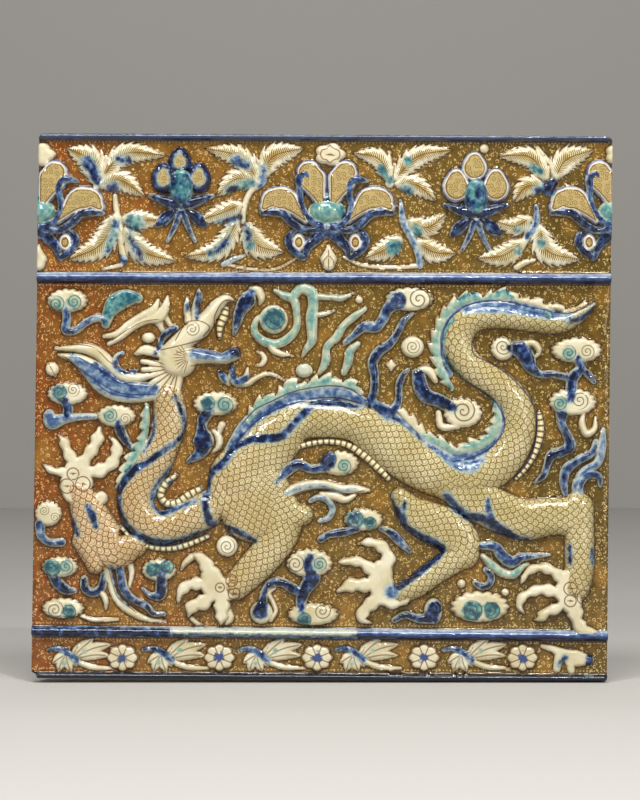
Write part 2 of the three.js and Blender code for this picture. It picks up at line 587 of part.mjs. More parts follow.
// The outline of the face with small rounded corners and one chipped corner
function outlineShape() {
  const ring = [corners.topLeft, corners.topRight, corners.bottomRight, corners.bottomLeft];
  const shape = new THREE.Shape();
  ring.forEach((corner, i) => {
    const here = new THREE.Vector2(...corner);
    const before = new THREE.Vector2(...ring[(i + 3) % 4]);
    const after = new THREE.Vector2(...ring[(i + 1) % 4]);
    const arrive = here.clone().add(before.sub(here).setLength(cornerRadius));
    const leave = here.clone().add(after.sub(here).setLength(cornerRadius));
    if (i === 0) shape.moveTo(arrive.x, arrive.y);
    else shape.lineTo(arrive.x, arrive.y);
    if (corner === corners.bottomLeft) {
      shape.lineTo(here.x + chipSize[0], here.y + chipSize[1]);
      shape.lineTo(leave.x, leave.y);
    } else {
      shape.quadraticCurveTo(here.x, here.y, leave.x, leave.y);
    }
  });
  return shape;
}

// A block with the tile's outline from the depth `front` to the depth `back`
function outlineBlock(front, back, insetAtBack) {
  const cornerSteps = 2;
  const plain = new THREE.ExtrudeGeometry(outlineShape(), {
    depth: front - back,
    bevelEnabled: false,
    curveSegments: cornerSteps,
  });
  const halfWidth = 188;
  return solidFrom(plain, (corner) => {
    const atBack = corner.z < 1e-6;
    const scale = atBack ? 1 - insetAtBack / halfWidth : 1;
    return new THREE.Vector3(corner.x * scale, -(back + corner.z), corner.y * scale);
  });
}

// A straight lip stands behind the face, and the sides slope inwards from it to the back
function slab() {
  const body = outlineBlock(slabDepth - lip, 0, backInset);
  const plain = outlineBlock(slabDepth, slabDepth - lip, 0);
  return body.add(plain);
}

function moulding([leftZ, rightZ, width, rise]) {
  const spread = 200;
  const ends = [new THREE.Vector3(-spread, leftZ, width), new THREE.Vector3(spread, rightZ, width)];
  return strip(ends, rise, rounded);
}

// The relief stands on the face and is cut off square at the outline
const relief = [
  ...mouldings.map(moulding),
  ...upperBorder(),
  ...lowerBorder(),
  ...clouds(),
  ...dragon(),
];
const reach = 2 * height.trunk;
const trimmed = relief
  .reduce((whole, part) => whole.add(part))
  .intersect(outlineBlock(slabDepth + reach, slabDepth, 0));
const whole = slab().add(trimmed);

const cut = whole.getMesh();
const geometry = new THREE.BufferGeometry();
geometry.setAttribute('position', new THREE.BufferAttribute(new Float32Array(cut.vertProperties), 3));
geometry.setIndex(new THREE.BufferAttribute(new Uint32Array(cut.triVerts), 1));
geometry.computeVertexNormals();

const glazedFritware = new THREE.MeshStandardMaterial({
  color: 0xc9b27a,
  roughness: 0.15,
  metalness: 0,
});
const tile = new THREE.Mesh(geometry, glazedFritware);
tile.name = 'frieze_tile';

const part = new THREE.Group();
part.add(tile);

export default part;
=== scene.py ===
# Frieze tile: one moulded fritware piece with a clear glaze, painted in cobalt, turquoise and lustre.
# The relief is drawn in millimetres on the face, x to the right and z up from the tile's middle.
import functools
import math

import bpy
import numpy as np
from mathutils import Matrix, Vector


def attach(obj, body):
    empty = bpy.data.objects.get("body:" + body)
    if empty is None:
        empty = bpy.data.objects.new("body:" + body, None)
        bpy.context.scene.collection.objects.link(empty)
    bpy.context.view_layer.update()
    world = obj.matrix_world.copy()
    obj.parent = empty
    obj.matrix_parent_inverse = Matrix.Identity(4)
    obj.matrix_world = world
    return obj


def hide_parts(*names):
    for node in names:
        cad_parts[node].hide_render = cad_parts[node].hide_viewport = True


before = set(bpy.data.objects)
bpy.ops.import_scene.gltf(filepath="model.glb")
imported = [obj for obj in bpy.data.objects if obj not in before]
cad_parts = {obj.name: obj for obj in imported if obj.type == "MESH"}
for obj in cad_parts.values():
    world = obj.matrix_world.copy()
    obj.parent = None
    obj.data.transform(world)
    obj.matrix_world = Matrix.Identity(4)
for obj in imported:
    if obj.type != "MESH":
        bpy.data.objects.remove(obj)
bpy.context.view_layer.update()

MM = 0.001
# A distance in millimetres past the reach of any paint or line
FAR = 9.0

# The body, how far its back is drawn in, and the corners and half size of its face
SLAB_DEPTH = 26.0
BACK_INSET = 6.0
HALF_FACE = 188
CORNER_RADIUS = 4.0
TOP_LEFT = (-186.5, 180.0)
TOP_RIGHT = (188.8, 177.8)
BOTTOM_RIGHT = (185.3, -179.8)
BOTTOM_LEFT = (-191.8, -176.6)
# The chipped corner, from the side edge to the lower edge, outwards from a point 6 mm inside it
CHIP = [(6, 0), (6, 2), (2.5, 3.5), (2, 6), (0, 6)]
# Depth of the straight lip round the face, and of the swell of the pressed ground
LIP = 1.5
SWELL = 0.16
# How finely the face is divided, how far from a form its ground is measured, and how far past its
# outline a form still holds a face of the mesh
SMALLEST_CELL = 1.04
EDGE_MARGIN = 4.0
HOLD = 0.5
# Leaves: depth of the teeth as a share, their pitch and slant, and the fullness of the outline
TOOTH_DEEP = 0.34
LOBE_TEETH = 0.08
VEIN_PITCH = 4.8
VEIN_SLANT = 0.7
LEAF_FULLNESS = (0.8, 0.75)
LEAF_TIP = 0.08
# Crests: pitch of the fins, their least and added height as shares of the ribbon, and which side has them
FIN_PITCH = 8.0
FIN_ROOT = 0.55
FIN_RISE = 1.05
CREST_SIDES = (1, 1, -1, -1)
# Toes: swelling at the joints as a share, its pitch, and the claw's length and tip
KNUCKLE = 0.17
KNUCKLE_PITCH = 9.5
CLAW_LENGTH = 9
CLAW_TIP = 0.4
PALM_WIDTH = 12
# Shoulders: a ramp that runs to the middle of the form, and the half width below which a form is lower
FULL_RAMP = 99.0
SLENDER = 2.2
LOWEST_SHARE = 0.3

# Heights of the relief above its ground
HEIGHT = {
    "moulding": 6.0, "edge moulding": 4.5, "trunk": 9.0, "leg": 8.0, "head": 9.0, "toe": 6.0,
    "claw": 4.0, "mane": 5.5, "antler": 4.5, "crest": 5.0, "plates": 4.0, "flame": 4.5,
    "cloud": 5.0, "tail": 4.5, "boss": 8.0, "neck": 6.0, "petal": 5.0, "sepal": 4.0, "leaf": 3.2,
    "stem": 2.2, "rosette": 2.6, "scroll": 2.0, "lobe": 2.0,
}

# Each pigment as (cobalt, turquoise, how dense it is)
PAINTS = {
    "cream": (0, 0, 0.0),
    "cobalt": (1, 0, 0.97),
    "blue": (1, 0, 0.76),
    "pale blue": (1, 0, 0.46),
    "teal": (1, 1, 0.75),
    "turquoise": (0, 1, 0.85),
    "pale turquoise": (0, 1, 0.42),
    "sea": (0, 1, 0.54),
    "milk": (0, 1, -0.1),
}

# A spine is a row of [x, z, width] that a smooth curve passes through

# Dragon: trunk, neck and tail
TRUNK = [
    [[-58, -50, 34], [-48, -38, 38], [-34, -22, 36], [-18, -8, 28], [0, -7, 25], [18, -9, 25],
     [34, -17, 28], [50, -28, 33], [66, -38, 33], [82, -45, 30], [97, -48, 25]],
    [[-102, 7, 20], [-101, -6, 22], [-104, -20, 21], [-111, -34, 24], [-120, -48, 25],
     [-123.5, -62, 24], [-118, -74, 23], [-106, -78.5, 22], [-92, -74, 23], [-78, -67, 24]],
    [[82, -46, 30], [98, -46, 26], [112, -39, 25], [122, -28, 24], [128, -13, 21.5], [126, 2, 21],
     [116, 14, 20], [102, 23, 19], [92, 32, 19], [87.5, 44, 20], [92, 55, 20], [104, 60.5, 18],
     [120, 60.5, 17], [138, 57.5, 15.5], [155, 56, 13.5], [167, 61, 10], [177, 68, 3]],
]
# Dragon: shoulder, thighs and shins
LEGS = [
    [[-46, -30, 34], [-50, -44, 50], [-49, -56, 54], [-46, -66, 44]],
    [[-48, -60, 44], [-34, -66, 34], [-20, -70, 24], [-14, -70, 14]],
    [[-26, -72, 26], [-30, -84, 25], [-38, -96, 23], [-49, -108, 21], [-58, -117, 18]],
    [[-161, -54, 16], [-156, -64, 22], [-151, -76, 27], [-145, -87, 30], [-136, -94, 24],
     [-124, -90, 16]],
    [[-152, -88, 26], [-150, -103, 12]],
    [[50, -58, 12], [58, -68, 22], [68, -74, 26], [79, -79, 28], [89, -87, 26], [91, -95, 22]],
    [[92, -95, 20], [83, -101, 17], [72, -108, 16], [60, -117, 15], [50, -122, 12]],
    [[92, -54, 28], [104, -62, 28], [118, -69, 27], [132, -73, 27], [148, -71, 25], [164, -71, 26]],
    [[166, -66, 22], [167, -80, 20], [167.5, -95, 19.5], [167, -108, 19], [165, -118, 18]],
]
# Dragon: toes, four feet in turn
TOES = [
    [[-160, -38, 9], [-166, -32, 7.5], [-169, -26, 7], [-171, -21, 6], [-174, -18, 3]],
    [[-158, -36, 9], [-153, -29, 8], [-149, -22, 8.5], [-147, -13, 7]],
    [[-156, -42, 9], [-147, -41, 9], [-139, -36, 8], [-136, -29, 8], [-137, -22, 5],
     [-141, -19, 2.5]],
    [[-137, -31, 6], [-131, -30, 4]],
    [[-162, -41, 8], [-171, -42, 6], [-178, -41, 5], [-184, -37, 3]],
    [[-162, -40, 16], [-162, -48, 22], [-163, -54, 18]],
    [[-73, -112, 10], [-76, -105, 9], [-80, -99, 9], [-85, -96, 6]],
    [[-74, -115, 9], [-82, -115, 8], [-89, -116, 8], [-94, -121, 6], [-95.5, -127, 4.5]],
    [[-72, -121, 10], [-79, -127, 10], [-86, -130, 9], [-89, -137, 4]],
    [[-69, -120, 11], [-67, -128, 10], [-67, -135, 10], [-67.5, -142, 4]],
    [[-74, -110, 14], [-72, -116, 18], [-66, -119, 16], [-59, -118, 14]],
    [[40, -108, 9], [42, -99, 9], [39, -92, 8], [31, -88, 6], [22, -89, 3]],
    [[37, -110, 9], [31, -106, 8], [24, -101, 7], [17, -100.5, 6], [10, -101, 5]],
    [[36, -114, 10], [27, -116, 9], [18, -116, 9], [9, -120, 5]],
    [[36, -120, 12], [32, -127, 9], [27, -132, 9], [25, -138, 7], [31, -141, 3]],
    [[36, -125, 8], [44, -128, 7], [52, -126.5, 6], [58, -123, 3]],
    [[38, -106, 14], [37, -114, 18], [40, -121, 16]],
    [[158, -118, 9], [155, -111, 8], [148, -106, 7], [140, -104.5, 6], [133, -108, 5],
     [129, -115, 3.5]],
    [[156, -122, 9], [149, -120, 8], [142, -119, 7.5], [135, -121, 6], [130, -124, 6],
     [128, -130, 5], [131, -134.5, 3]],
    [[158, -126, 9], [153, -131, 7], [146, -133.5, 7], [141, -138, 6], [137.5, -139, 2.5]],
    [[160, -126, 10], [164, -133, 10], [166, -140, 9], [170, -145, 8], [178, -146.5, 5]],
    [[161, -112, 14], [160, -120, 18], [162, -128, 14]],
]
# Dragon: loose claws
CLAWS = [
    [[-86.5, -97.5, 5], [-91, -101.5, 4], [-93.5, -106, 1.5]],
    [[-86.5, -138, 3.5], [-83, -141, 3], [-79.5, -142, 1.2]],
    [[-62, -133, 4], [-61, -138, 4.5], [-64, -141, 3]],
]
# Dragon: snout and lower jaw
HEAD = [
    [[-99, 36, 16], [-90, 46, 14], [-81, 53, 14], [-75, 60, 11], [-70, 67, 9], [-64, 71.5, 6],
     [-59.5, 70.5, 2]],
    [[-96, 33, 16], [-86, 34, 12], [-76, 33.5, 9], [-67, 32, 8], [-59, 35.5, 9]],
]
# Dragon: teeth, brow spikes, ear, brow and beard
FACE = [
    [[-68.5, 46, 3], [-68, 54, 5], [-65.5, 60, 6], [-64, 65, 4]],
    [[-89, 57, 5], [-90, 66, 4], [-89.5, 73, 1.5]],
    [[-85, 55, 4], [-84, 66, 5], [-82, 73, 5], [-82, 78, 1.5]],
    [[-124, 35, 2], [-117, 38, 7], [-110, 36, 6], [-104, 33, 4]],
    [[-106, 35, 4], [-107, 43, 4], [-103, 49, 5], [-97, 52.5, 4]],
    [[-69, 24, 2], [-66, 20, 6], [-62, 15, 2]],
    [[-60, 27, 3], [-60.5, 20, 5], [-56.5, 17, 6], [-51.5, 20, 4.5], [-50, 26, 2]],
    [[-57, 15, 3], [-50, 16, 4], [-44, 20, 3.5], [-37, 22.5, 3], [-31, 21, 2.5], [-26, 18, 1.2]],
]
# Dragon: antlers and ear
ANTLERS = [
    [[-144, 47, 3], [-136, 48.5, 4.5], [-128, 55, 4.5], [-119, 60.5, 5], [-112, 64, 6],
     [-108.5, 71, 2]],
    [[-141, 42, 3], [-133, 46.5, 4], [-125, 53, 4.5], [-116, 57.5, 5], [-108, 60, 8], [-104, 66, 6],
     [-102.5, 73, 2]],
    [[-132, 36, 3], [-136, 34, 3.5], [-136.5, 29.5, 3.5], [-134, 25, 4], [-129, 22.5, 4],
     [-124, 24, 3.5]],
]
# Dragon: mane and scarf
MANE = [
    [[-176, 39, 2], [-165, 39, 5], [-155, 38.6, 7.5], [-146, 34.5, 8.5], [-140, 28, 8.5], [-133, 21.5, 8],
     [-124, 19.5, 7], [-116, 21, 5]],
    [[-174, 35, 2], [-162, 32, 8], [-152, 25, 14], [-144, 17, 16], [-134, 11.5, 15],
     [-121, 10.5, 14], [-109, 11, 12]],
]
# Dragon: serrated crests
CREST = [
    [[-49, -8, 4], [-44, 0, 7], [-38, 5, 7], [-30, 7, 5], [-22, 14, 9], [-14, 13, 6], [-5, 16, 8],
     [5, 17.5, 8], [11, 15, 5], [17, 15.5, 7], [24, 10, 3]],
    [[84, 13, 3], [78, 21, 6], [74.5, 30, 6], [73, 42, 7], [75.5, 52, 6], [80, 62, 6], [88, 69, 7],
     [98, 72.5, 7], [104, 71, 4], [111, 73, 7], [119, 73.5, 8], [130, 70, 4], [140, 68.5, 6],
     [146, 65.5, 3.5], [151, 66.5, 5], [160, 63.5, 2.5], [172, 69, 2]],
    [[112, 5, 3], [113.5, -6, 6], [111, -15, 8], [104, -23, 7], [96, -25, 8], [86, -28, 5],
     [76, -23, 7], [66, -18, 6], [57, -9, 7], [49, -1, 4]],
    [[-116, 2, 3], [-117, -8, 6], [-118, -18, 5], [-123, -29, 8], [-130, -40, 6], [-136, -52, 2]],
]
# Dragon: belly plates
PLATES = [
    [[141, -4, 4], [142, -14, 5], [139, -27, 4.5], [133, -38, 4], [126, -46, 3]],
    [[-35, -50, 3], [-32, -38, 4], [-24, -29, 4], [-12, -24, 4], [2, -22, 4], [15, -24, 4.5],
     [26, -31, 5], [35, -39, 5], [42, -46, 4]],
    [[-133, -78, 3], [-125, -86, 3], [-114, -91, 3.5], [-100, -92, 4], [-88, -89, 4],
     [-76, -84, 3]],
    [[-97, -44, 3], [-104, -50, 5], [-107, -57, 5], [-103, -62.5, 5], [-96, -62, 5], [-89, -57, 5],
     [-81, -53, 4]],
]
# Flames, scarves and ribbons round the dragon, each with its glaze
FLAMES = [
    ("cobalt", [[31, 4, 6], [33, 12, 6], [33, 22, 6], [32, 30, 7], [36, 37, 7], [43, 42, 6],
     [48, 49, 5], [52, 57, 4.5], [58, 62, 2.5]]),
    ("cobalt", [[31, 4, 6], [38, -1, 9], [45, -2, 8], [49, 6, 5], [49, 14, 5], [51, 20, 5],
     [55, 25, 3]]),
    ("pale turquoise", [[-3, 23, 3], [1, 30, 6], [2, 40, 5], [8, 46, 6], [13, 54, 5], [20, 60, 5],
     [27, 65, 3]]),
    ("pale turquoise", [[13, 23, 4], [16, 31, 6], [17, 37, 6], [22, 42, 4]]),
    ("pale turquoise", [[-38, 61, 3], [-44, 58, 4], [-45.5, 50, 5], [-40, 44, 6], [-31, 42, 6],
     [-23, 46, 6], [-18, 53, 5], [-18, 63, 5], [-20, 71, 6], [-27, 74, 5], [-32, 77, 3]]),
    ("pale turquoise", [[-21, 72, 6], [-15, 78, 7], [-8.5, 76, 8], [-7, 68, 7], [-8, 60, 8],
     [-8, 51, 7], [-8, 44, 6], [-12, 38, 4], [-14, 34, 2]]),
    ("pale turquoise", [[-6, 73, 4], [4, 72.5, 4], [12, 72, 4], [20, 75.5, 1.5]]),
    ("pale turquoise", [[-8, 61, 4], [0, 61.5, 3], [7, 64, 1.5]]),
    ("cream", [[-36, 43, 5], [-33, 38, 5], [-28, 35.5, 4], [-20, 34, 1.5]]),
    ("blue", [[178, -22, 4], [176, -29, 5], [167, -34, 6], [159, -40, 7], [157, -48, 6],
     [158, -56, 4]]),
    ("pale blue", [[183, -14, 3], [182, -26, 6], [179, -36, 6], [170, -42, 6], [165, -50, 5],
     [164, -57, 3]]),
    ("blue", [[168, -60, 5], [168, -50, 5], [173, -43.5, 6], [180, -45, 5], [181, -51, 2.5]]),
    ("cream", [[170, -3, 3], [169, -10, 4.5], [172, -17, 5], [177, -14, 4], [178, -6, 2]]),
    ("cream", [[-27, -57, 3], [-21, -54, 7], [-12, -51, 7], [0, -50, 6], [12, -53, 6], [20, -53, 6],
     [29, -54, 3]]),
    ("cream", [[-2, -56, 3], [8, -58, 6], [14, -60, 5], [20, -57, 3]]),
    ("pale blue", [[-9, -61, 3], [-4, -58.5, 4], [2, -60, 4.5], [5.5, -66, 4.5], [3, -72, 4],
     [-3, -74, 3]]),
    ("blue", [[102, -90, 5], [112, -91, 7], [117, -97, 8], [123, -101, 8], [129, -98, 6],
     [138, -97, 4], [148, -96, 2]]),
    ("pale turquoise", [[104, -97, 4], [110, -103, 6], [117, -108, 6], [124, -109, 6],
     [130, -104, 4], [134, -102, 2]]),
    ("cobalt", [[106, -106, 4], [109.5, -110, 5], [108, -115.5, 5], [103, -117, 5],
     [99, -114.5, 4]]),
    ("cobalt", [[-134.5, -100, 6], [-133, -110, 6], [-131, -119, 6], [-124, -126, 5],
     [-116, -130, 5], [-112, -134.5, 4], [-105, -135, 3]]),
    ("cobalt", [[-157, -112, 5], [-156.5, -118, 6], [-151.5, -121, 6], [-146, -118, 6],
     [-144.5, -109, 4]]),
    ("cream", [[-146, -120, 4], [-143, -126, 4], [-143, -132, 1.5]]),
]
# Cloud heads as (x, z, half width, half height)
CLOUD_HEADS = [
    (-168, 70.5, 13.5, 8),
    (56, 71.5, 16, 8),
    (165.5, 38, 17, 8.5),
    (163, 4, 16, 9),
    (-168, 9.5, 13.5, 7.5),
    (-136, -5, 13, 7.5),
    (-71, 3, 15, 8),
    (-180.5, -69, 9, 8.5),
    (10, -36, 13, 8.5),
    (26, -73, 13, 7.5),
    (-173, -104, 12, 7),
    (-171, -131, 14, 7),
    (-108, -106, 11.5, 7.5),
    (-9.5, -101.5, 15.5, 9.5),
    (-7, -135, 17, 7.5),
    (102, -130, 19.5, 10.5),
    (91, -3, 13, 10),
    (117, 39, 8, 8),
]
# Cloud tails, and the share of their width that a wash runs on over the cloud heads
TAIL_WASH = 0.7
CLOUD_TAILS = [
    ("blue", [[-169, 66, 6], [-168.5, 58, 6], [-169, 51, 6], [-163, 50.5, 5], [-156, 56, 5],
     [-148, 59, 5], [-143, 57, 5]]),
    ("turquoise", [[-143, 55, 6], [-141, 62, 9], [-136, 69, 13], [-129, 72, 12], [-122, 72, 7]]),
    ("cobalt", [[-59, 48, 2], [-57, 56, 6], [-55, 63, 8], [-50, 71, 11], [-47, 76, 6]]),
    ("cream", [[-48, 78.5, 3], [-43, 77, 6], [-41, 72, 5], [-42, 68, 2]]),
    ("blue", [[14, 43, 4], [20, 48, 5], [26, 53, 7], [34, 53, 7], [38.5, 58, 7], [42, 65, 8],
     [49, 70, 10]]),
    ("cobalt", [[62, 22, 9], [63, 15, 10], [67, 8, 10], [75, 5, 9], [84, 0, 9]]),
    ("cream", [[63, 26, 3], [69, 24, 6], [73, 18, 4]]),
    ("cream", [[75, -3, 4], [77, -12, 5], [88, -12, 4]]),
    ("cobalt", [[122, 39, 8], [129, 38, 12], [133, 32, 11], [136, 26, 8], [142, 22, 5], [150, 22, 5],
     [160, 20, 5]]),
    ("cream", [[131, 43, 3], [138, 42, 5], [141, 37, 4], [138, 33, 2]]),
    ("cobalt", [[166, 33, 6], [168, 26, 7], [163, 20, 8], [162, 12, 8], [161, 5, 7]]),
    ("cobalt", [[169, 25, 5], [174, 21, 5], [177, 17, 3]]),
    ("cobalt", [[156, -3, 9], [155.5, -10, 6], [159, -17, 6], [161, -25, 8], [155, -29, 7],
     [149, -31, 7], [146, -38, 5], [144, -44, 5], [138, -49, 2]]),
    ("cobalt", [[-173, 8, 8], [-168, 2, 7], [-168, -5, 7]]),
    ("pale blue", [[-180, -5, 8], [-178.5, -9, 10], [-170, -7, 7], [-162, -6, 5], [-150, -5.5, 4]]),
    ("cobalt", [[-135, -9, 7], [-133, -16, 7], [-128, -24, 5], [-126, -27, 2]]),
    ("cobalt", [[-75, -1, 9], [-79, -7, 8], [-80, -13, 7], [-79, -21, 14], [-81, -29, 9],
     [-89, -35, 3]]),
    ("cream", [[-73, -14, 2], [-69, -19, 5], [-69, -25, 4], [-73, -29, 2]]),
    ("cream", [[-69, -17, 3], [-67, -11, 5]]),
    ("blue", [[-186, -76, 7], [-185, -84, 6], [-180, -88, 5], [-172, -88, 6]]),
    ("blue", [[3, -38, 8], [-8, -40, 6], [-17, -37, 7], [-25, -42, 7], [-31, -49, 3]]),
    ("cobalt", [[22, -79, 5], [12, -81.5, 6], [3, -83, 5], [-2, -86, 5]]),
    ("cobalt", [[37, -79, 3], [44, -82, 6], [50, -88, 6], [56, -94, 3]]),
    ("cobalt", [[-177, -109, 8], [-174, -115, 8], [-169, -119, 7], [-163, -120, 3]]),
    ("cream", [[-159, -136, 2.5], [-152, -138.7, 3], [-143, -138.7, 3], [-135, -138.7, 2]]),
    ("cobalt", [[-107, -108, 9], [-106.5, -116, 8], [-107.5, -122, 8], [-113, -123, 4.5],
     [-119, -118, 2]]),
    ("cobalt", [[-9, -100, 13], [-8.5, -112, 12], [-12, -118, 9], [-14.5, -124, 8],
     [-15, -133, 6]]),
    ("cobalt", [[-15, -121, 6], [-21, -118, 7], [-27, -114.5, 6], [-34, -114.5, 6], [-38.5, -119, 5],
     [-40, -126, 6]]),
    ("cream", [[-32, -118, 2], [-36, -121, 3], [-33.5, -127, 3], [-31.5, -133, 3], [-35, -139, 3]]),
    ("cobalt", [[72, -137, 9], [62, -138, 6], [53, -135.5, 5], [46, -139, 4]]),
]
# Discs and other rounded knobs
KNOBS = [
    (-33, 58, 9.5, 9.5),
    (-63.5, -90.5, 7, 7),
    (58, 40, 7.5, 7),
    (-41, -134, 7.5, 7.5),
    (71.5, -133, 6, 8.5),
    (-13, 24.5, 5.5, 4.5),
    (-146, -59, 4.5, 4.5),
    (-164, -43, 4.5, 4.5),
    (-168, -51, 5.5, 5.5),
    (-157.5, -49.5, 5.5, 5.5),
    (-115, 46, 4.5, 3.5),
    (-178, 25.5, 4.5, 4.5),
    (-86, 52, 6, 4),
    (90, -115, 2.8, 3),
]
# Upper border: leaves
LEAVES = [
    (-149, 147, -153, 162, -168, 170, 21.7),
    (-146, 150, -131, 166, -104, 165.5, 17.1),
    (-148, 145, -134, 149, -118, 139, 17.1),
    (-136, 127, -146, 107, -167, 97, 20.5),
    (-133, 124, -121, 123, -106, 123, 16),
    (-131, 118, -120, 103, -97, 96, 18.2),
    (-43, 149, -55, 164, -77, 170, 17.1),
    (-42, 147, -57, 150, -70, 139, 17.1),
    (-40, 151, -34, 164, -14, 170, 19.4),
    (-53, 134, -66, 128, -81, 123, 16),
    (-56, 124, -69, 104, -91, 99, 17.1),
    (-51, 121, -44, 107, -27, 102, 20.5),
    (43, 149, 36, 163, 20, 167, 16),
    (46, 149, 60, 164, 83, 169, 17.1),
    (46, 147, 60, 146, 73, 136, 16),
    (55, 123, 67, 118, 80, 127, 16),
    (60, 109, 72, 102, 86, 101, 17.1),
    (51, 112, 41, 104, 27, 98, 17.1),
    (147, 149, 135, 164, 115, 165, 17.1),
    (151, 150, 158, 162, 176, 169, 19.4),
    (145, 145, 133, 145, 124, 135, 16),
    (136, 125, 125, 119, 113, 122, 14.8),
    (131, 110, 118, 100, 101, 98, 17.1),
    (141, 120, 146, 103, 167, 97, 19.4),
]
# Upper border: stems
STEMS = [
    [[-137, 139, 3], [-136, 130, 4], [-134, 121, 4], [-133, 108, 4], [-131, 97, 5]],
    [[-41, 156, 4], [-40, 149, 5], [-48, 142, 4], [-52, 133, 4], [-53, 122, 3]],
    [[-64, 94, 2], [-48, 91, 2], [-32, 91, 2], [-15, 100, 1.5]],
    [[43, 147, 6], [43, 158, 4], [43, 168, 2]],
    [[50, 136, 2], [52, 122, 5], [57, 112, 5], [61, 103, 4], [63, 93, 4]],
    [[13, 99, 2], [24, 94, 2.5], [42, 92, 2.5], [62, 93, 3]],
    [[147, 143, 8], [151, 150, 4], [148, 160, 3], [140, 171, 2]],
    [[139, 132, 3], [139, 122, 5], [133, 112, 5], [126, 99, 4]],
    [[139, 120, 5], [143, 108, 3]],
]
# Ribbons that lie so low that only their edge shows
LOW_RIBBONS = [
    ("cream", [[-142.5, -104, 5], [-140, -113, 5], [-137, -123, 5], [-131, -130, 6], [-122, -136, 5],
     [-113, -139, 3], [-104, -139.5, 2]]),
    ("cream", [[-129, -98, 5], [-126, -107, 4], [-127.5, -117, 2]]),
    ("cream", [[-109, 58, 7], [-106, 51, 3]]),
    ("cream", [[-104, 60, 4], [-100, 54, 3], [-96, 53, 1]]),
    ("pale blue", [[-66, 94, 3.5], [-60, 97, 3.5], [-52, 100, 2]]),
    ("cream", [[-133, 93.5, 3], [-145, 91, 2]]),
    ("cream", [[126, 92, 4], [131, 95, 4], [138, 97, 2]]),
    ("cream", [[-149, 145, 5], [-149, 152, 4]]),
    ("cream", [[-44, 37, 1.5], [-40.5, 35.5, 3], [-39, 32, 3.8], [-41, 28.5, 3], [-45, 28, 1.2]]),
    ("cream", [[-181, 29, 2], [-178, 25.5, 7], [-176, 21, 2]]),
]
# Hatched bands that fill the foot of the crests
BANDS = [
    [[-62, -27, 6], [-53, -14, 9], [-43, -5, 11], [-31, 1, 12], [-18, 7, 12], [-4, 10, 11],
     [10, 10, 10], [20, 7, 8], [27, 3, 6]],
    [[82, 22, 5], [78, 32, 5], [77, 43, 5], [79, 53, 5], [84, 61, 5], [92, 66.5, 6], [104, 69, 6],
     [120, 69, 6], [136, 66.5, 5], [150, 63.5, 4]],
    [[116, 2, 5], [117.5, -8, 5], [114, -18, 7], [106, -27, 9], [96, -31, 10], [86, -33, 9],
     [75, -29, 7], [64, -22, 7], [54, -12, 6], [46, -4, 4]],
]
LOW_DIAMOND = (44, 28, 3.4, 4.4)
LOW_SPOTS = [(23, 71, 2.5, 2.5), (118.7, -120.7, 2.5, 2.5), (105, 170, 3, 3)]
# Dragon: ruff round the cheek, as reach from its centre, widths and angles, and whiskers drawn on the cheek
RUFF_CENTRE = (-97, 29)
RUFF_REACH = (9, 22)
RUFF_WIDTHS = (6.0, 3.6)
RUFF_ANGLES = [186, 200, 214, 228, 242, 256, 270, 282]
RUFF_SWEEP = -10
RUFF_LINE_TURN = -7
WHISKER_ROOT = (-88, 33)
WHISKER_ANGLES = range(125, 256, 14)
CHEEK = (-96, 31, 12.5, 11.5)

# Upper border: the open lotus, one side, from its boss outwards
LOTUS_PITCH = 190
LOTUS_CENTRE = (2, 128.5)
LOTUS_BOSS = (0, 0, 12.5, 8.5)
LOTUS_CAP = (0, 7, 7.5, 5.5)
LOTUS_KNOT = (0, -9.5, 2.8, 2.6)
LOTUS_TALL_PETAL = [[4, 6, 8], [7, 14, 14], [10, 21, 20], [12, 25.5, 17]]
LOTUS_SIDE_PETAL = [[14, -6, 5], [21, 2, 11], [28, 8, 17], [36, 8, 15], [41, 3, 8]]
LOTUS_NECK = {
    -1: [[3, -9.5, 5], [10, -6, 5], [15, 0, 4.5], [17.5, 8, 4.5], [17.8, 16, 5], [17.5, 22, 7],
         [14.5, 25, 6], [10.5, 20, 2]],
    1: [[3, -9.5, 5], [10, -8, 5], [14.5, -3, 4.5], [16, 4, 4.5], [14.5, 11, 4.5], [14.5, 17, 6],
        [18, 21, 7], [27, 20, 1.5]],
}
LOTUS_SEPAL = [[4, -11, 6], [14, -12, 5], [22, -8, 5.5], [29, -1.5, 6], [36, 0, 6], [43, -1, 3]]
LOTUS_BRACT = [[1, -12, 9], [7, -17, 8], [12.5, -23, 6], [14.5, -30, 3]]
LOTUS_HOOK = (18.5, -20, 4.6, 6.5)
LOTUS_HOOK_ARC = [[19, -11.5, 2], [23.5, -14, 4], [25.5, -19, 5], [22.5, -25, 5], [15.5, -30, 4]]
LOTUS_CROWN = (2, 37.5, 10.5, 8)
LOTUS_SPADE = [[1, -21.5, 1.5], [1, -26, 6], [1, -31, 11.4], [1, -34, 9]]

# Upper border: the closed buds as (x, z, paint of the petals' rims, its width, size), and one side of a bud
BUD_CENTRES = [(-93.5, 144.5, "cobalt", 3.8, 0.88), (99.5, 138.5, None, 0, 1.0)]
BUD_BOSS = (9.6, 12)
BUD_TOP_PETAL = (-1, 18.5, 10, 10)
BUD_SIDE_PETAL = (13, 6, 10.5, 11.5)
BUD_SEPAL = [[3, -11, 8], [10, -9, 7], [16, -7, 5], [21, -5.5, 2]]
BUD_BOW = [[3, -15, 4], [8, -18, 7], [12.5, -22, 8], [16, -25, 3]]
BUD_TAIL = [[1, -16, 5], [4, -25, 4], [9, -35, 2.5]]

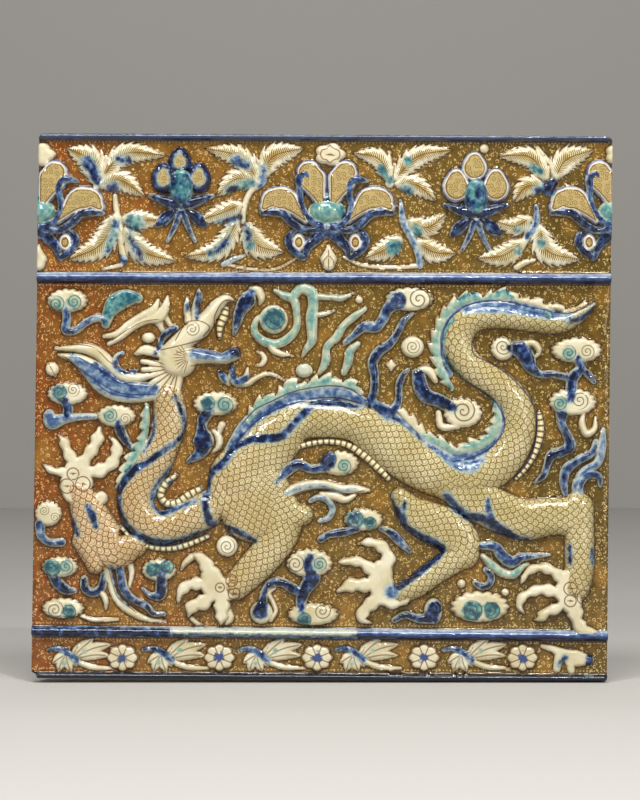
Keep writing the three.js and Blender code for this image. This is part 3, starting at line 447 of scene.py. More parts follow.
# Lower border: rosettes, and a scroll with lobed leaves above and below, its washes and tints
ROSETTE_CENTRES = [-132, -68.5, -4.6, 65.5, 130]
ROSETTE_SIZE = (10.5, 9.2)
ROSETTE_Z = -163.5
SCROLL_STARTS = [-181, -118.7, -56, 7.3, 78]
SCROLL_Z = -158.7
SCROLL_STEM = [[0, 0, 2], [7, 1, 3.5], [13, -1.5, 4], [20, -7.5, 4], [29, -11, 4], [43, -11.8, 2]]
SCROLL_LOBES = [
    (17, -4, 23, 2, 30, 7.5, 8.5), (19, -4, 29, 1, 42, 4, 8.5), (20, -5, 31, -3, 41.5, -3.5, 7),
    (16, -3, 19, 0.5, 20, 5, 5.5), (12, -3, 8, -5, 3, -8.5, 7), (12, -3, 9, -8, 7, -14, 8),
    (12, -3, 13, -8, 15.5, -14, 8), (13, -4, 16.5, -7, 19.5, -11, 5.5),
]
SCROLL_WASH = [[0, 0, 3], [7, 1, 4], [13, -1.5, 4.5], [19, -6.5, 4]]
SCROLL_TINTS = [[[24, 0, 4]], [[10.5, -8, 4]]]
LAST_LEAF = [
    [[143, -156, 3], [150, -158, 5], [157, -161, 7], [165, -164, 11], [174, -165, 6]],
    [[154, -162, 6], [152.5, -171, 5]],
    [[161, -165, 7], [162, -172, 5]],
]

# Mouldings as (z at the left, z at the right, width, height), running past the tile's sides
MOULDING_REACH = 200
MOULDINGS = [
    (85.5, 84.5, 7, "moulding"),
    (-146, -149.5, 7, "moulding"),
    (178, 176.5, 5, "edge moulding"),
    (-175.3, -177.3, 5, "edge moulding"),
]

# Brush strokes of colour over the relief
STROKES = [
    # Lower moulding
    ("cobalt", [[-200, -146, 8], [-103, -147, 7]]),
    ("milk", [[-98, -145.4, 3.4], [20, -146.8, 3.4]]),
    ("cobalt", [[-90, -149.6, 1.6], [20, -150.6, 2]]),
    # Lotus and buds
    ("blue", [[12, 129, 5], [14, 125, 5]]),
    # Back, flank and crest
    ("cobalt", [[-60, -26, 5], [-48, -21, 5], [-38, -20, 6], [-29, -19, 6], [-23, -14, 5], [-15.6, -5.6, 5],
     [-7, 2, 5], [3, 3.3, 5], [15, 2, 4], [23, 0.5, 3]]),
    ("cobalt", [[-59, -26, 5], [-66, -36, 5], [-74, -43, 5], [-77, -55, 5], [-77, -68, 5], [-72, -77, 6],
     [-62, -79, 5], [-54, -82, 4], [-45, -87, 3]]),
    ("blue", [[-61, -25, 4], [-50, -13, 4], [-37, -3, 4], [-20, 4, 4]]),
    ("pale blue", [[-20, 4, 4], [-5, 8, 4], [8, 9, 4], [20, 7, 4], [26, 5, 5]]),
    ("pale turquoise", [[-49, -8, 4], [-44, 0, 6], [-38, 5, 6], [-30, 7, 4], [-22, 14, 8], [-14, 13, 5],
     [-5, 16, 7], [5, 17.5, 7], [11, 15, 4], [17, 15.5, 6], [24, 10, 2]]),
    ("blue", [[28, 5, 6], [36, 0, 5], [42, -5, 6], [52, -9, 3], [60, -17, 3], [75, -28, 4]]),
    ("pale blue", [[75, -28, 4], [85, -35, 8], [95, -38, 9], [103, -33, 5]]),
    # Neck
    ("cobalt", [[-113, 0, 2.5], [-111, -12, 2.5], [-113, -20, 2.5], [-118, -28, 2.5]]),
    ("pale turquoise", [[-116, 2, 3], [-117, -8, 5], [-118, -18, 5], [-123, -29, 7], [-130, -40, 5]]),
    ("cobalt", [[-98, 8, 3], [-94, 0, 3], [-91, -10, 3], [-92, -17, 3], [-105, -28, 4], [-118, -37, 5],
     [-126, -42, 6], [-133, -52, 5], [-135, -62, 5], [-132, -72, 5], [-126, -80, 5], [-115, -86, 5],
     [-100, -88, 5], [-90, -85, 4], [-75, -80, 4]]),
    ("blue", [[-97, -36, 2.5], [-109, -50, 3], [-112, -60, 4], [-106, -68, 5], [-95, -65, 3],
     [-83, -60, 2.5]]),
    ("blue", [[-101, -49, 3], [-79, -46, 3]]),
    # Tail
    ("pale blue", [[92, 64, 5], [104, 66, 8], [118, 66, 9], [132, 64, 8], [146, 61, 6], [160, 60, 4]]),
    ("cobalt", [[160, 56, 3], [170, 60, 4], [177, 66, 3]]),
    ("turquoise", [[84, 58, 3], [78, 47, 3], [78, 35, 4], [84, 25, 4], [95, 15, 4], [107, 7, 4],
     [113, 0, 3]]),
    ("pale turquoise", [[84, 13, 3], [78, 21, 5], [74.5, 30, 5], [73, 42, 6], [75.5, 52, 5], [80, 62, 5],
     [88, 69, 6], [98, 72.5, 6], [104, 71, 3], [111, 73, 6], [119, 73.5, 7]]),
    ("turquoise", [[80, 64, 3], [90, 71, 5], [98, 75, 5]]),
    ("turquoise", [[108, 72, 3], [118, 75, 6], [123, 72, 3]]),
    ("turquoise", [[146, 62, 4], [148, 58, 3]]),
    ("pale turquoise", [[112, 5, 3], [113.5, -6, 5], [111, -15, 7], [104, -23, 6], [96, -25, 7],
     [86, -28, 4], [76, -23, 6], [66, -18, 5]]),
    # Hind legs
    ("cobalt", [[41, -53, 5], [44, -64, 6], [50, -70, 6], [53, -77, 5], [60, -82, 5], [70, -87.5, 6],
     [77, -92, 6], [69, -101, 6], [58, -109, 7], [49, -116, 7]]),
    ("cobalt", [[51, -70, 4], [53, -62, 3]]),
    ("blue", [[80, -57, 5], [87, -66, 6]]),
    ("cobalt", [[87, -66, 5], [95, -71, 6], [104, -72, 6], [111, -76, 7], [118, -82, 8], [126, -86.5, 7],
     [134, -87.5, 5]]),
    ("cobalt", [[110, -74, 4], [107.6, -67, 4], [106.7, -60, 3]]),
    # Fore legs
    ("cobalt", [[-167, -71, 4], [-164, -77, 5], [-161, -83, 3]]),
    ("cobalt", [[-154, -64, 4], [-151, -71, 5], [-149, -77, 4]]),
    ("cobalt", [[160.7, -90, 2.5], [160.7, -96, 3], [161, -102, 2.5]]),
    ("blue", [[175.3, -92, 2], [175.3, -97, 3.4], [175.5, -102, 2]]),
    # Head, mane and ear
    ("pale blue", [[-164, 33, 5], [-152, 23, 10], [-143.5, 16, 12], [-129, 11, 12], [-112, 12, 9]]),
    ("blue", [[-160, 29, 2.5], [-148, 18, 3], [-134, 10, 3], [-116, 9, 3]]),
    ("blue", [[-150, 28.5, 4], [-141, 21.7, 5], [-133, 16.5, 4], [-124, 15.5, 3]]),
    ("blue", [[-132.4, 35.5, 3], [-136.7, 29.3, 3.5], [-133.3, 24.2, 3.5], [-124, 24, 3]]),
    ("cobalt", [[-98.3, 51.5, 5], [-105, 47.2, 4.5], [-107.7, 40.4, 3], [-110.3, 35.3, 3]]),
    ("cobalt", [[-89.3, 68, 3.5], [-89.3, 64, 3]]),
    ("cobalt", [[-82.1, 74, 4], [-82.5, 66, 4], [-83.2, 59, 3]]),
    ("pale blue", [[-85, 35, 7], [-77, 36, 9.5], [-69, 35, 9], [-61, 35.5, 8]]),
    ("blue", [[-80, 36.5, 6.5]]),
    ("blue", [[-70.5, 35, 7]]),
    ("cobalt", [[-60, 36.8, 8], [-55, 37.6, 9]]),
    ("blue", [[-67.5, 24, 4.5], [-65, 18, 4]]),
    ("cobalt", [[-60, 26, 4], [-59, 20, 5], [-55, 17, 5], [-51, 20, 4]]),
    # Upper border leaves
    ("blue", [[-155, 161, 8.7], [-150, 153, 7.2], [-148, 148, 5.8]]),
    ("blue", [[-128, 162, 5.8], [-135, 163, 4.3]]),
    ("blue", [[-138, 144, 8.7]]),
    ("teal", [[-136, 122, 4.3], [-138, 112, 5.1], [-142, 103, 4.3]]),
    ("teal", [[-124, 121, 11.6]]),
    ("cobalt", [[-127, 111, 3.6], [-122, 103, 5.1], [-120, 99, 4.3]]),
    ("blue", [[-134, 98, 5.8], [-128, 95, 5.8]]),
    ("blue", [[-58, 162, 7.2], [-51, 159, 5.8]]),
    ("teal", [[-62, 142, 5.8], [-54, 145, 5.8], [-48, 147, 5.8]]),
    ("pale blue", [[-40, 158, 4], [-40, 150, 5], [-42, 145, 4]]),
    ("blue", [[-55, 125, 4.3], [-62, 123, 5.8], [-70, 120, 4.3]]),
    ("cobalt", [[-62, 112, 3.6], [-66, 107, 5.1], [-70, 103, 4.3]]),
    ("teal", [[-74, 101, 5.8]]),
    ("cobalt", [[-51, 120, 3.6], [-50, 113, 4.3], [-49, 108, 4.3]]),
    ("turquoise", [[-48, 106, 6.5]]),
    ("turquoise", [[37, 157, 5.8], [43, 149, 5.8]]),
    ("turquoise", [[55, 161, 7.2]]),
    ("teal", [[54, 142, 8.7]]),
    ("turquoise", [[61, 116, 8.7]]),
    ("turquoise", [[46, 105, 11.6]]),
    ("pale blue", [[50, 136, 3], [52, 122, 4], [57, 112, 4], [61, 103, 4], [63, 93, 4]]),
    ("turquoise", [[136, 158, 5.8], [141, 155, 5.8]]),
    ("blue", [[140, 142, 7.2], [144, 143, 7.2]]),
    ("cobalt", [[147, 144, 11.6], [150, 147, 7.2]]),
    ("turquoise", [[127, 117, 5.8]]),
    ("turquoise", [[127, 103, 5.8]]),
    ("blue", [[139, 132, 3], [139, 122, 4], [133, 112, 4]]),
    ("teal", [[142, 108, 5.8]]),
    # Clouds and low forms
    ("cobalt", [[-40, -126, 6], [-41.5, -133, 11]]),
    ("cobalt", [[69, -137, 8], [72.5, -131, 10]]),
    ("pale blue", [[44, -120, 10]]),
    ("milk", [[-13, 24.5, 11]]),
    ("pale blue", [[-24, -56, 2.4], [-14, -52, 2.4], [-2, -51, 2.4], [8, -54, 2.4], [20, -53, 2]]),
    ("blue", [[-139, -104, 3], [-137, -113, 3], [-134, -122, 3], [-128, -129, 3]]),
    # Lower border
    ("cobalt", [[174.7, -158, 5], [173.3, -173, 5]]),
    ("blue", [[153.5, -168, 3], [158, -163, 4]]),
]

# Curls painted on the cloud heads as (x, z, radius, paint, +1 or -1 for the way it turns)
CURLS = [
    (-175, 68, 5.5, "pale turquoise", 1), (-163.5, 69.5, 5, "pale turquoise", -1),
    (48, 70, 6, "blue", 1), (62, 71, 8, "cream", -1),
    (91, -2, 8, "cream", 1), (117, 40, 6, "cream", 1),
    (160, 36, 5, "pale turquoise", 1), (172, 37, 5, "cream", -1),
    (154, 3, 5, "pale turquoise", 1), (167, 5, 6, "cream", -1),
    (-173, 10, 5, "teal", 1), (-164, 12, 4.5, "cream", -1),
    (-140, -5, 5, "pale turquoise", 1), (-130, -7, 4, "cream", -1),
    (-76, 3, 5, "turquoise", 1), (-65, 2, 6, "pale turquoise", -1),
    (-183, -67, 3.5, "cream", 1), (-176, -71.5, 3.5, "cream", -1),
    (2, -34, 6.5, "blue", 1), (13, -38, 5, "pale turquoise", -1),
    (20, -73, 6, "teal", 1), (30, -75, 4.5, "turquoise", -1),
    (-178, -105, 6, "turquoise", 1), (-168.7, -103.7, 5, "pale turquoise", -1),
    (-176, -132, 6, "cream", 1), (-167, -133, 5, "turquoise", -1),
    (-112, -105.5, 5, "turquoise", 1), (-103, -104, 5, "turquoise", -1),
    (-18.7, -102, 6, "cream", 1), (-3, -102, 5, "pale turquoise", -1),
    (-1.3, -132.7, 6, "cream", 1), (-13, -138, 5, "turquoise", -1),
    (96.7, -132.7, 7, "turquoise", 1), (109.3, -132, 6, "turquoise", -1),
    (-33, 58, 8, "turquoise", 1), (-63.5, -90.5, 5.5, "cream", 1), (58, 40, 5, "cream", 1),
    (-86, 51.5, 5, "cream", 1),
]

# Brown lines as (tone, spine): tone 0 is lustre brown, 1 is dark cobalt
LINES = [
    (0, [[-106, 38, 0.9], [-89, 42, 0.9], [-80, 45, 0.9], [-73, 50, 0.9], [-71, 61, 0.9], [-65, 70, 0.9],
         [-59, 70, 0.9]]),
    (0, [[-96, 36, 0.8], [-84, 39, 0.8], [-76, 43, 0.8], [-71, 48, 0.8]]),
    (0, [[-96.8, 44.6, 0.9], [-89.4, 56, 0.9], [-81.3, 56.9, 0.9], [-74.7, 52.8, 0.9], [-78.8, 47, 0.9]]),
    (0, [[-66, 28.5, 0.8], [-76, 29, 0.8], [-86, 27.5, 0.8]]),
    (0, [[-176, 40, 0.7], [-160, 41.5, 0.7], [-149, 38.5, 0.7], [-140, 30, 0.7], [-127, 23.5, 0.7]]),
    (1, [[-169, 33, 0.8], [-154, 21, 0.8], [-140, 10, 0.8], [-121, 6.5, 0.8]]),
    (1, [[-160, 33, 0.8], [-148, 25.5, 0.8], [-135, 17.5, 0.8], [-114, 15.5, 0.8]]),
    (1, [[-157, 24, 0.7], [-146, 16, 0.7], [-132, 9.5, 0.7], [-112, 9, 0.7]]),
    (0, [[-139, 44, 0.7], [-128, 51.5, 0.7], [-118, 56.5, 0.7], [-109, 58, 0.7]]),
    (0, [[-141, -105, 0.7], [-138.5, -115, 0.7], [-135, -124, 0.7], [-124, -133, 0.7]]),
    (0, [[-179.5, 28, 0.7], [-176.5, 22.5, 0.7]]),
    (0, [[-25, -59, 0.7], [-12, -54, 0.7], [2, -53, 0.7], [16, -56, 0.7], [26, -54, 0.7]]),
    (1, [[-58, -24, 1], [-48, -12, 1], [-36, -3, 1], [-20, 3, 1], [-4, 6.5, 1], [10, 6.5, 1], [24, 3, 1]]),
    (1, [[-54, -11, 0.9], [-45, -1, 0.9], [-33, 5, 0.9], [-22, 10, 0.9], [-10, 13, 0.9], [5, 14.5, 0.9],
         [17, 12.5, 0.9], [25, 7, 0.9]]),
    (1, [[178, 70, 1], [160, 62, 1], [140, 65, 1], [120, 69, 1.2], [105, 70, 1.2], [92, 66, 1.2],
     [82, 58, 1.4], [77, 47, 1.8], [78, 35, 1.8], [84, 25, 1.4], [92, 18, 1.4], [105, 10, 1.4],
     [113, 3, 1.4], [118, -8, 1.4], [117, -15, 1.4], [110, -25, 1.2], [95, -33, 1.2], [85, -35, 1]]),
    (1, [[178, 66, 1.2], [168, 52, 1.2], [150, 47, 1.2], [130, 50, 1], [115, 51, 1], [103, 50, 1],
     [97, 43, 1], [98, 35, 1], [108, 30, 1], [120, 22, 1], [130, 12, 1], [138, 0, 1.2],
     [139, -15, 1.2], [136, -30, 1.2], [130, -40, 1], [122, -48, 1]]),
    # Veins of the spade under the lotus and rings on its crown
    (0, [[3, 103, 0.8], [3, 96, 0.8], [3, 92, 0.8]]),
    (0, [[3, 100, 0.7], [0, 96.5, 0.7], [-0.5, 93.5, 0.7]]),
    (0, [[3, 100, 0.7], [6, 96.5, 0.7], [6.5, 93.5, 0.7]]),
    (0, [[-2.5, 166, 0.8], [-1, 169, 0.8], [1.5, 169.5, 0.8], [4, 172, 0.8], [6.5, 169.5, 0.8],
         [9, 169, 0.8], [10.5, 166, 0.8], [9, 163, 0.8], [6.5, 162.5, 0.8], [4, 160.5, 0.8],
         [1.5, 162.5, 0.8], [-1, 163, 0.8], [-2.5, 166, 0.8]]),
    (0, [[4, 166, 2], [4.3, 166, 2]]),
]

# Round pads on the soles as (x, z, radius)
PADS = [
    (-164, -43, 4.5), (-168, -51, 5.5), (-157.5, -49.5, 5.5),
    (-60.3, -112.7, 4.5), (-58.7, -121.3, 4.5), (-68, -117.3, 3.5),
    (161, -118, 5), (161, -126, 4.5), (170, -123.7, 5.5),
]


def smooth_curve(spine, spacing=1.5):
    """A centripetal curve through the spine's points, as rows of x, z, width."""
    points = np.array(spine, float)
    if len(points) == 1:
        points = np.vstack([points, points + (0.01, 0, 0)])
    knots = np.vstack([2 * points[0] - points[1], points, 2 * points[-1] - points[-2]])
    rows = []
    for a, b, c, d in zip(knots[:-3], knots[1:-2], knots[2:-1], knots[3:]):
        t1 = np.linalg.norm(b - a) ** 0.5
        t2 = t1 + np.linalg.norm(c - b) ** 0.5
        t3 = t2 + np.linalg.norm(d - c) ** 0.5
        steps = max(2, int(np.hypot(*(c - b)[:2]) / spacing) + 1)
        t = np.linspace(t1, t2, steps, endpoint=False)[:, None]
        ab = a + (b - a) * t / t1
        bc = b + (c - b) * (t - t1) / (t2 - t1)
        cd = c + (d - c) * (t - t2) / (t3 - t2)
        abc = ab + (bc - ab) * t / t2
        bcd = bc + (cd - bc) * (t - t1) / (t3 - t1)
        rows.append(abc + (bcd - abc) * (t - t1) / (t2 - t1))
    rows.append(points[-1:])
    return np.vstack(rows)


def follow(curve, points):
    """For each point: its distance from the curve, the way along and across, and the curve's half width."""
    start = curve[:-1, :2]
    step = curve[1:, :2] - start
    length = np.hypot(step[:, 0], step[:, 1])
    travelled = np.concatenate(([0.0], np.cumsum(length)))
    found = np.empty((4, len(points)))
    batch = 4000
    for first in range(0, len(points), batch):
        part = slice(first, first + batch)
        away = points[part, None, :] - start[None]
        share = (away * step).sum(-1) / length ** 2
        held = np.clip(share, 0, 1)
        gap = away - held[..., None] * step
        distance = np.hypot(gap[..., 0], gap[..., 1])
        nearest = distance.argmin(1)
        row = np.arange(len(nearest))
        free = share[row, nearest]
        past_end = ((nearest == 0) & (free < 0)) | ((nearest == len(step) - 1) & (free > 1))
        f = np.where(past_end, free, held[row, nearest])
        cross = step[nearest, 0] * away[row, nearest, 1] - step[nearest, 1] * away[row, nearest, 0]
        found[0, part] = distance[row, nearest]
        found[1, part] = travelled[nearest] + f * length[nearest]
        found[2, part] = cross / length[nearest]
        f = held[row, nearest]
        found[3, part] = 0.5 * (curve[nearest, 2] * (1 - f) + curve[nearest + 1, 2] * f)
    return found


def around(curve, reach):
    """The box that holds a curve and this much beside it."""
    return (*(curve[:, :2].min(0) - reach), *(curve[:, :2].max(0) + reach))


def ribbon(spine):
    curve = smooth_curve(spine)

    def measure(points):
        distance, along, across, half = follow(curve, points)
        return half - distance, along, across, half

    return measure, around(curve, curve[:, 2].max() / 2)


def toe(spine):
    """A finger swollen at its joints that ends in a thin claw."""
    curve = smooth_curve(spine)
    total = np.hypot(*np.diff(curve[:, :2], axis=0).T).sum()

    def measure(points):
        distance, along, across, half = follow(curve, points)
        joint = 1 + KNUCKLE * np.cos(2 * np.pi * along / KNUCKLE_PITCH)
        joint *= np.clip(CLAW_TIP + (total - along) / CLAW_LENGTH, CLAW_TIP, 1)
        return half * joint - distance, along, across, half

    return measure, around(curve, (1 + KNUCKLE) * curve[:, 2].max() / 2)


def knob(x, z, half_wide, half_high, outline=None):
    small = min(half_wide, half_high)

    def measure(points):
        dx = points[:, 0] - x
        dz = points[:, 1] - z
        radius = np.hypot(dx / half_wide, dz / half_high)
        edge = 1.0 if outline is None else outline(np.arctan2(dz / half_high, dx / half_wide))
        return (edge - radius) * small, dx, dz, np.full(len(points), small)

    return measure, (x - half_wide, z - half_high, x + half_wide, z + half_high)


def leaf(base_x, base_z, mid_x, mid_z, tip_x, tip_z, width, teeth=TOOTH_DEEP):
    """A pointed leaf whose edge is cut into teeth that point to its tip."""
    curve = smooth_curve([[base_x, base_z, 1], [mid_x, mid_z, 1], [tip_x, tip_z, 1]])
    total = np.hypot(*np.diff(curve[:, :2], axis=0).T).sum()

    def measure(points):
        distance, along, across, _ = follow(curve, points)
        share = np.clip(along / total, 0, 1)
        body = np.maximum(np.sin(np.pi * share ** LEAF_FULLNESS[0]) ** LEAF_FULLNESS[1], LEAF_TIP)
        tooth = 1 - teeth * (1 - np.mod((along - VEIN_SLANT * distance) / VEIN_PITCH, 1.0))
        half = 0.5 * width * body
        return half * tooth - distance, along, across, half

    return measure, around(curve, width / 2)


def scalloped(count, depth, low=1.0):
    """An edge of round lobes whose depth falls to this share of itself at the lowest point."""
    def edge(angle):
        cut = depth * (0.5 * (1 + low) + 0.5 * (1 - low) * np.sin(angle))
        return 1 - cut + cut * np.abs(np.cos(angle * count * 0.5))

    return edge


def drawn_up(angle):
    """Drawn out to a point above."""
    return 0.88 + 0.24 * np.maximum(0, np.sin(angle)) ** 6


def pointed(angle):
    """Drawn out to a point above and below."""
    return 0.84 + 0.18 * np.abs(np.sin(angle)) ** 3


def diamond(angle):
    return 1 / (np.abs(np.cos(angle)) + np.abs(np.sin(angle)))


def crest(spine, side):
    """A ribbon whose outer side, left or right of the way it runs, is cut into fins."""
    curve = smooth_curve(spine)

    def measure(points):
        distance, along, across, half = follow(curve, points)
        fin = FIN_ROOT + FIN_RISE * np.mod(along / FIN_PITCH, 1.0) ** 0.8
        return half * np.where(across * side > 0, fin, 1.0) - distance, along, across, half

    return measure, around(curve, (FIN_ROOT + FIN_RISE) * curve[:, 2].max() / 2)


def mirrored(spine, x, z, side):
    return [[x + side * dx, z + dz, width] for dx, dz, width in spine]


motifs = []


def raise_motif(shape, finish, rise, paint="cream", ramp=FULL_RAMP, rim=0.6, edge_paint=None):
    """Adds one raised form. ramp is the width of its rounded shoulder, rim the unpainted edge
    and edge_paint a colour that only its edge has."""
    measure, box = shape
    motifs.append({
        "measure": measure, "box": box, "finish": finish, "rise": rise, "ramp": ramp,
        "paint": PAINTS[edge_paint or paint], "rim": rim, "only_edge": edge_paint is not None,
    })


def ruff_strand(angle, widths):
    """One strand of the ruff, from the cheek outwards, swept back at its end."""
    x, z = RUFF_CENTRE
    turns = (math.radians(angle), math.radians(angle + RUFF_SWEEP))
    return [[x + reach * math.cos(turn), z + reach * math.sin(turn), width]
            for reach, turn, width in zip(RUFF_REACH, turns, widths)]


def raise_dragon():
    for spine in TRUNK:
        raise_motif(ribbon(spine), "scales", HEIGHT["trunk"])
    for spine in LEGS:
        raise_motif(ribbon(spine), "scales", HEIGHT["leg"], ramp=9)
    for spine in TOES:
        palm = max(width for _, _, width in spine) > PALM_WIDTH
        raise_motif((ribbon if palm else toe)(spine), "cream", HEIGHT["toe"], ramp=2.4)
    for spine in CLAWS:
        raise_motif(ribbon(spine), "cream", HEIGHT["claw"])
    for spine in HEAD:
        raise_motif(ribbon(spine), "cream", HEIGHT["head"], ramp=5)
    teeth, *others = FACE
    raise_motif(ribbon(teeth), "plates", HEIGHT["antler"])
    for spine in others:
        raise_motif(ribbon(spine), "cream", HEIGHT["antler"], ramp=2)
    raise_motif(knob(*CHEEK), "cream", HEIGHT["head"], ramp=6)
    for angle in RUFF_ANGLES:
        raise_motif(ribbon(ruff_strand(angle, RUFF_WIDTHS)), "cream", HEIGHT["mane"], ramp=1.8)
    for spine in ANTLERS:
        raise_motif(ribbon(spine), "cream", HEIGHT["antler"], ramp=2)
    for spine in MANE:
        raise_motif(ribbon(spine), "cream", HEIGHT["mane"], ramp=3)
    for spine in BANDS:
        raise_motif(ribbon(spine), "band", HEIGHT["plates"], "pale blue", ramp=3)
    for spine, side in zip(CREST, CREST_SIDES):
        raise_motif(crest(spine, side), "cream", HEIGHT["crest"], ramp=2)
    for spine in PLATES:
        raise_motif(ribbon(spine), "plates", HEIGHT["plates"])
    for paint, spine in FLAMES:
        raise_motif(ribbon(spine), "cream", HEIGHT["flame"], paint, ramp=2.4)


def raise_clouds():
    for head in CLOUD_HEADS:
        raise_motif(knob(*head, scalloped(15, 0.15, 0.2)), "cream", HEIGHT["cloud"], ramp=2.4)
    for paint, spine in CLOUD_TAILS:
        raise_motif(ribbon(spine), "cream", HEIGHT["tail"], paint, ramp=2.6)
    for disc in KNOBS:
        raise_motif(knob(*disc), "cream", HEIGHT["cloud"], ramp=2.4)
    for paint, spine in LOW_RIBBONS:
        raise_motif(ribbon(spine), "cream", HEIGHT["scroll"], paint)
    raise_motif(knob(*LOW_DIAMOND, diamond), "cream", HEIGHT["scroll"])
    for spot in LOW_SPOTS:
        raise_motif(knob(*spot), "cream", HEIGHT["scroll"])


def raise_lotus(x, z, sides):
    def placed(spot):
        dx, dz, wide, high = spot
        return knob(x + dx, z + dz, wide, high)

    for side in sides:
        raise_motif(ribbon(mirrored(LOTUS_TALL_PETAL, x, z, side)), "petal", HEIGHT["petal"], ramp=3)
        raise_motif(ribbon(mirrored(LOTUS_SIDE_PETAL, x, z, side)), "petal", HEIGHT["petal"], ramp=3)
        raise_motif(ribbon(mirrored(LOTUS_SEPAL, x, z, side)), "cream", HEIGHT["neck"], "cobalt", rim=0.2)
        raise_motif(ribbon(mirrored(LOTUS_NECK[side], x, z, side)), "cream", HEIGHT["neck"], "blue", rim=0)
        raise_motif(ribbon(mirrored(LOTUS_BRACT, x, z, side)), "cream", HEIGHT["sepal"], "cobalt", rim=0)
        raise_motif(ribbon(mirrored(LOTUS_HOOK_ARC, x, z, side)), "cream", HEIGHT["sepal"], "cobalt", rim=0)
        hook_x, hook_z, *hook = LOTUS_HOOK
        raise_motif(placed((side * hook_x, hook_z, *hook)), "petal", HEIGHT["leaf"], ramp=2)
    raise_motif(placed(LOTUS_CAP), "cream", HEIGHT["petal"], "teal", rim=0)
    raise_motif(placed(LOTUS_BOSS), "cream", HEIGHT["boss"], "sea", rim=0)
    raise_motif(placed(LOTUS_KNOT), "cream", HEIGHT["neck"], "pale blue", rim=0)
    crown_x, crown_z, *crown = LOTUS_CROWN
    raise_motif(knob(x + crown_x, z + crown_z, *crown, scalloped(5, 0.2)), "cream", HEIGHT["sepal"], ramp=3)
    raise_motif(ribbon(mirrored(LOTUS_SPADE, x, z, 1)), "cream", HEIGHT["sepal"], ramp=3)


def raise_bud(x, z, rim_paint, rim_width, size):
    def raise_petal(petal_x, petal_z, wide, high):
        raise_motif(knob(petal_x, petal_z, size * wide, size * high, drawn_up), "petal", HEIGHT["petal"],
                    ramp=3, rim=rim_width, edge_paint=rim_paint)

    raise_motif(knob(x, z, *BUD_BOSS, pointed), "cream", HEIGHT["boss"], "teal", ramp=2.6, rim=0)
    top_x, top_z, *top = BUD_TOP_PETAL
    side_x, side_z, *beside = BUD_SIDE_PETAL
    raise_petal(x + top_x, z + size * top_z, *top)
    for side in (-1, 1):
        raise_petal(x + side * size * side_x, z + size * side_z, *beside)
        raise_motif(ribbon(mirrored(BUD_SEPAL, x, z, side)), "cream", HEIGHT["neck"], "cobalt", rim=0)
        raise_motif(ribbon(mirrored(BUD_BOW, x, z, side)), "cream", HEIGHT["sepal"], "cobalt", rim=0)
        raise_motif(ribbon(mirrored(BUD_TAIL, x, z, side)), "cream", HEIGHT["sepal"], "blue", rim=0.5)


def raise_borders():
    x, z = LOTUS_CENTRE
    raise_lotus(x, z, (-1, 1))
    raise_lotus(x - LOTUS_PITCH, z, (1,))
    raise_lotus(x + LOTUS_PITCH, z, (-1,))
    for bud in BUD_CENTRES:
        raise_bud(*bud)
    for row in LEAVES:
        raise_motif(leaf(*row), "leaf", HEIGHT["leaf"])
    for spine in STEMS:
        raise_motif(ribbon(spine), "cream", HEIGHT["stem"])
    petals = scalloped(8, 0.16)
    for x in ROSETTE_CENTRES:
        raise_motif(knob(x, ROSETTE_Z, *ROSETTE_SIZE, petals), "rosette", HEIGHT["rosette"], ramp=2)
    for x in SCROLL_STARTS:
        raise_motif(ribbon(mirrored(SCROLL_STEM, x, SCROLL_Z, 1)), "cream", HEIGHT["scroll"])
        for row in SCROLL_LOBES:
            places = [value + (SCROLL_Z if n % 2 else x) for n, value in enumerate(row[:6])]
            raise_motif(leaf(*places, row[6], LOBE_TEETH), "lobe", HEIGHT["lobe"], ramp=2)
    for spine in LAST_LEAF:
        raise_motif(ribbon(spine), "cream", HEIGHT["lobe"], ramp=2)
    for left_z, right_z, width, kind in MOULDINGS:
        ends = [[-MOULDING_REACH, left_z, width], [MOULDING_REACH, right_z, width]]
        raise_motif(ribbon(ends), "moulding", HEIGHT[kind])


def survey(points, margin):
    """What every motif measures at the points near it: (chosen, inside, along, across, height)."""
    rows = []
    for motif in motifs:
        x0, z0, x1, z1 = motif["box"]
        near = ((points[:, 0] > x0 - margin) & (points[:, 0] < x1 + margin)
                & (points[:, 1] > z0 - margin) & (points[:, 1] < z1 + margin))
        chosen = np.flatnonzero(near)
        inside, along, across, half = motif["measure"](points[chosen])
        shoulder = np.minimum(half, motif["ramp"])
        rise = motif["rise"] * np.clip(half / SLENDER, LOWEST_SHARE, 1)
        share = np.clip(inside / shoulder, 0, 1)
        rows.append((chosen, inside, along, across, rise * np.sqrt(1 - (1 - share) ** 2)))
    return rows


def owners(count, rows, margin):
    """The motif that shows at each point: the highest one there, or else the nearest within the margin."""
    best = np.full(count, -margin)
    owner = np.full(count, -1)
    for k, (chosen, inside, _, _, height) in enumerate(rows):
        score = np.where(inside > 0, 100 + height, inside)
        better = score > best[chosen]
        owner[chosen[better]] = k
        best[chosen[better]] = score[better]
    return owner, best


def heights(points):
    """How far each point lies inside the nearest raised outline, and the height of the relief there."""
    deep = np.full(len(points), -EDGE_MARGIN)
    height = np.zeros(len(points))
    for chosen, inside, _, _, rise in survey(points, EDGE_MARGIN):
        deep[chosen] = np.maximum(deep[chosen], inside)
        height[chosen] = np.maximum(height[chosen], rise)
    return deep, height


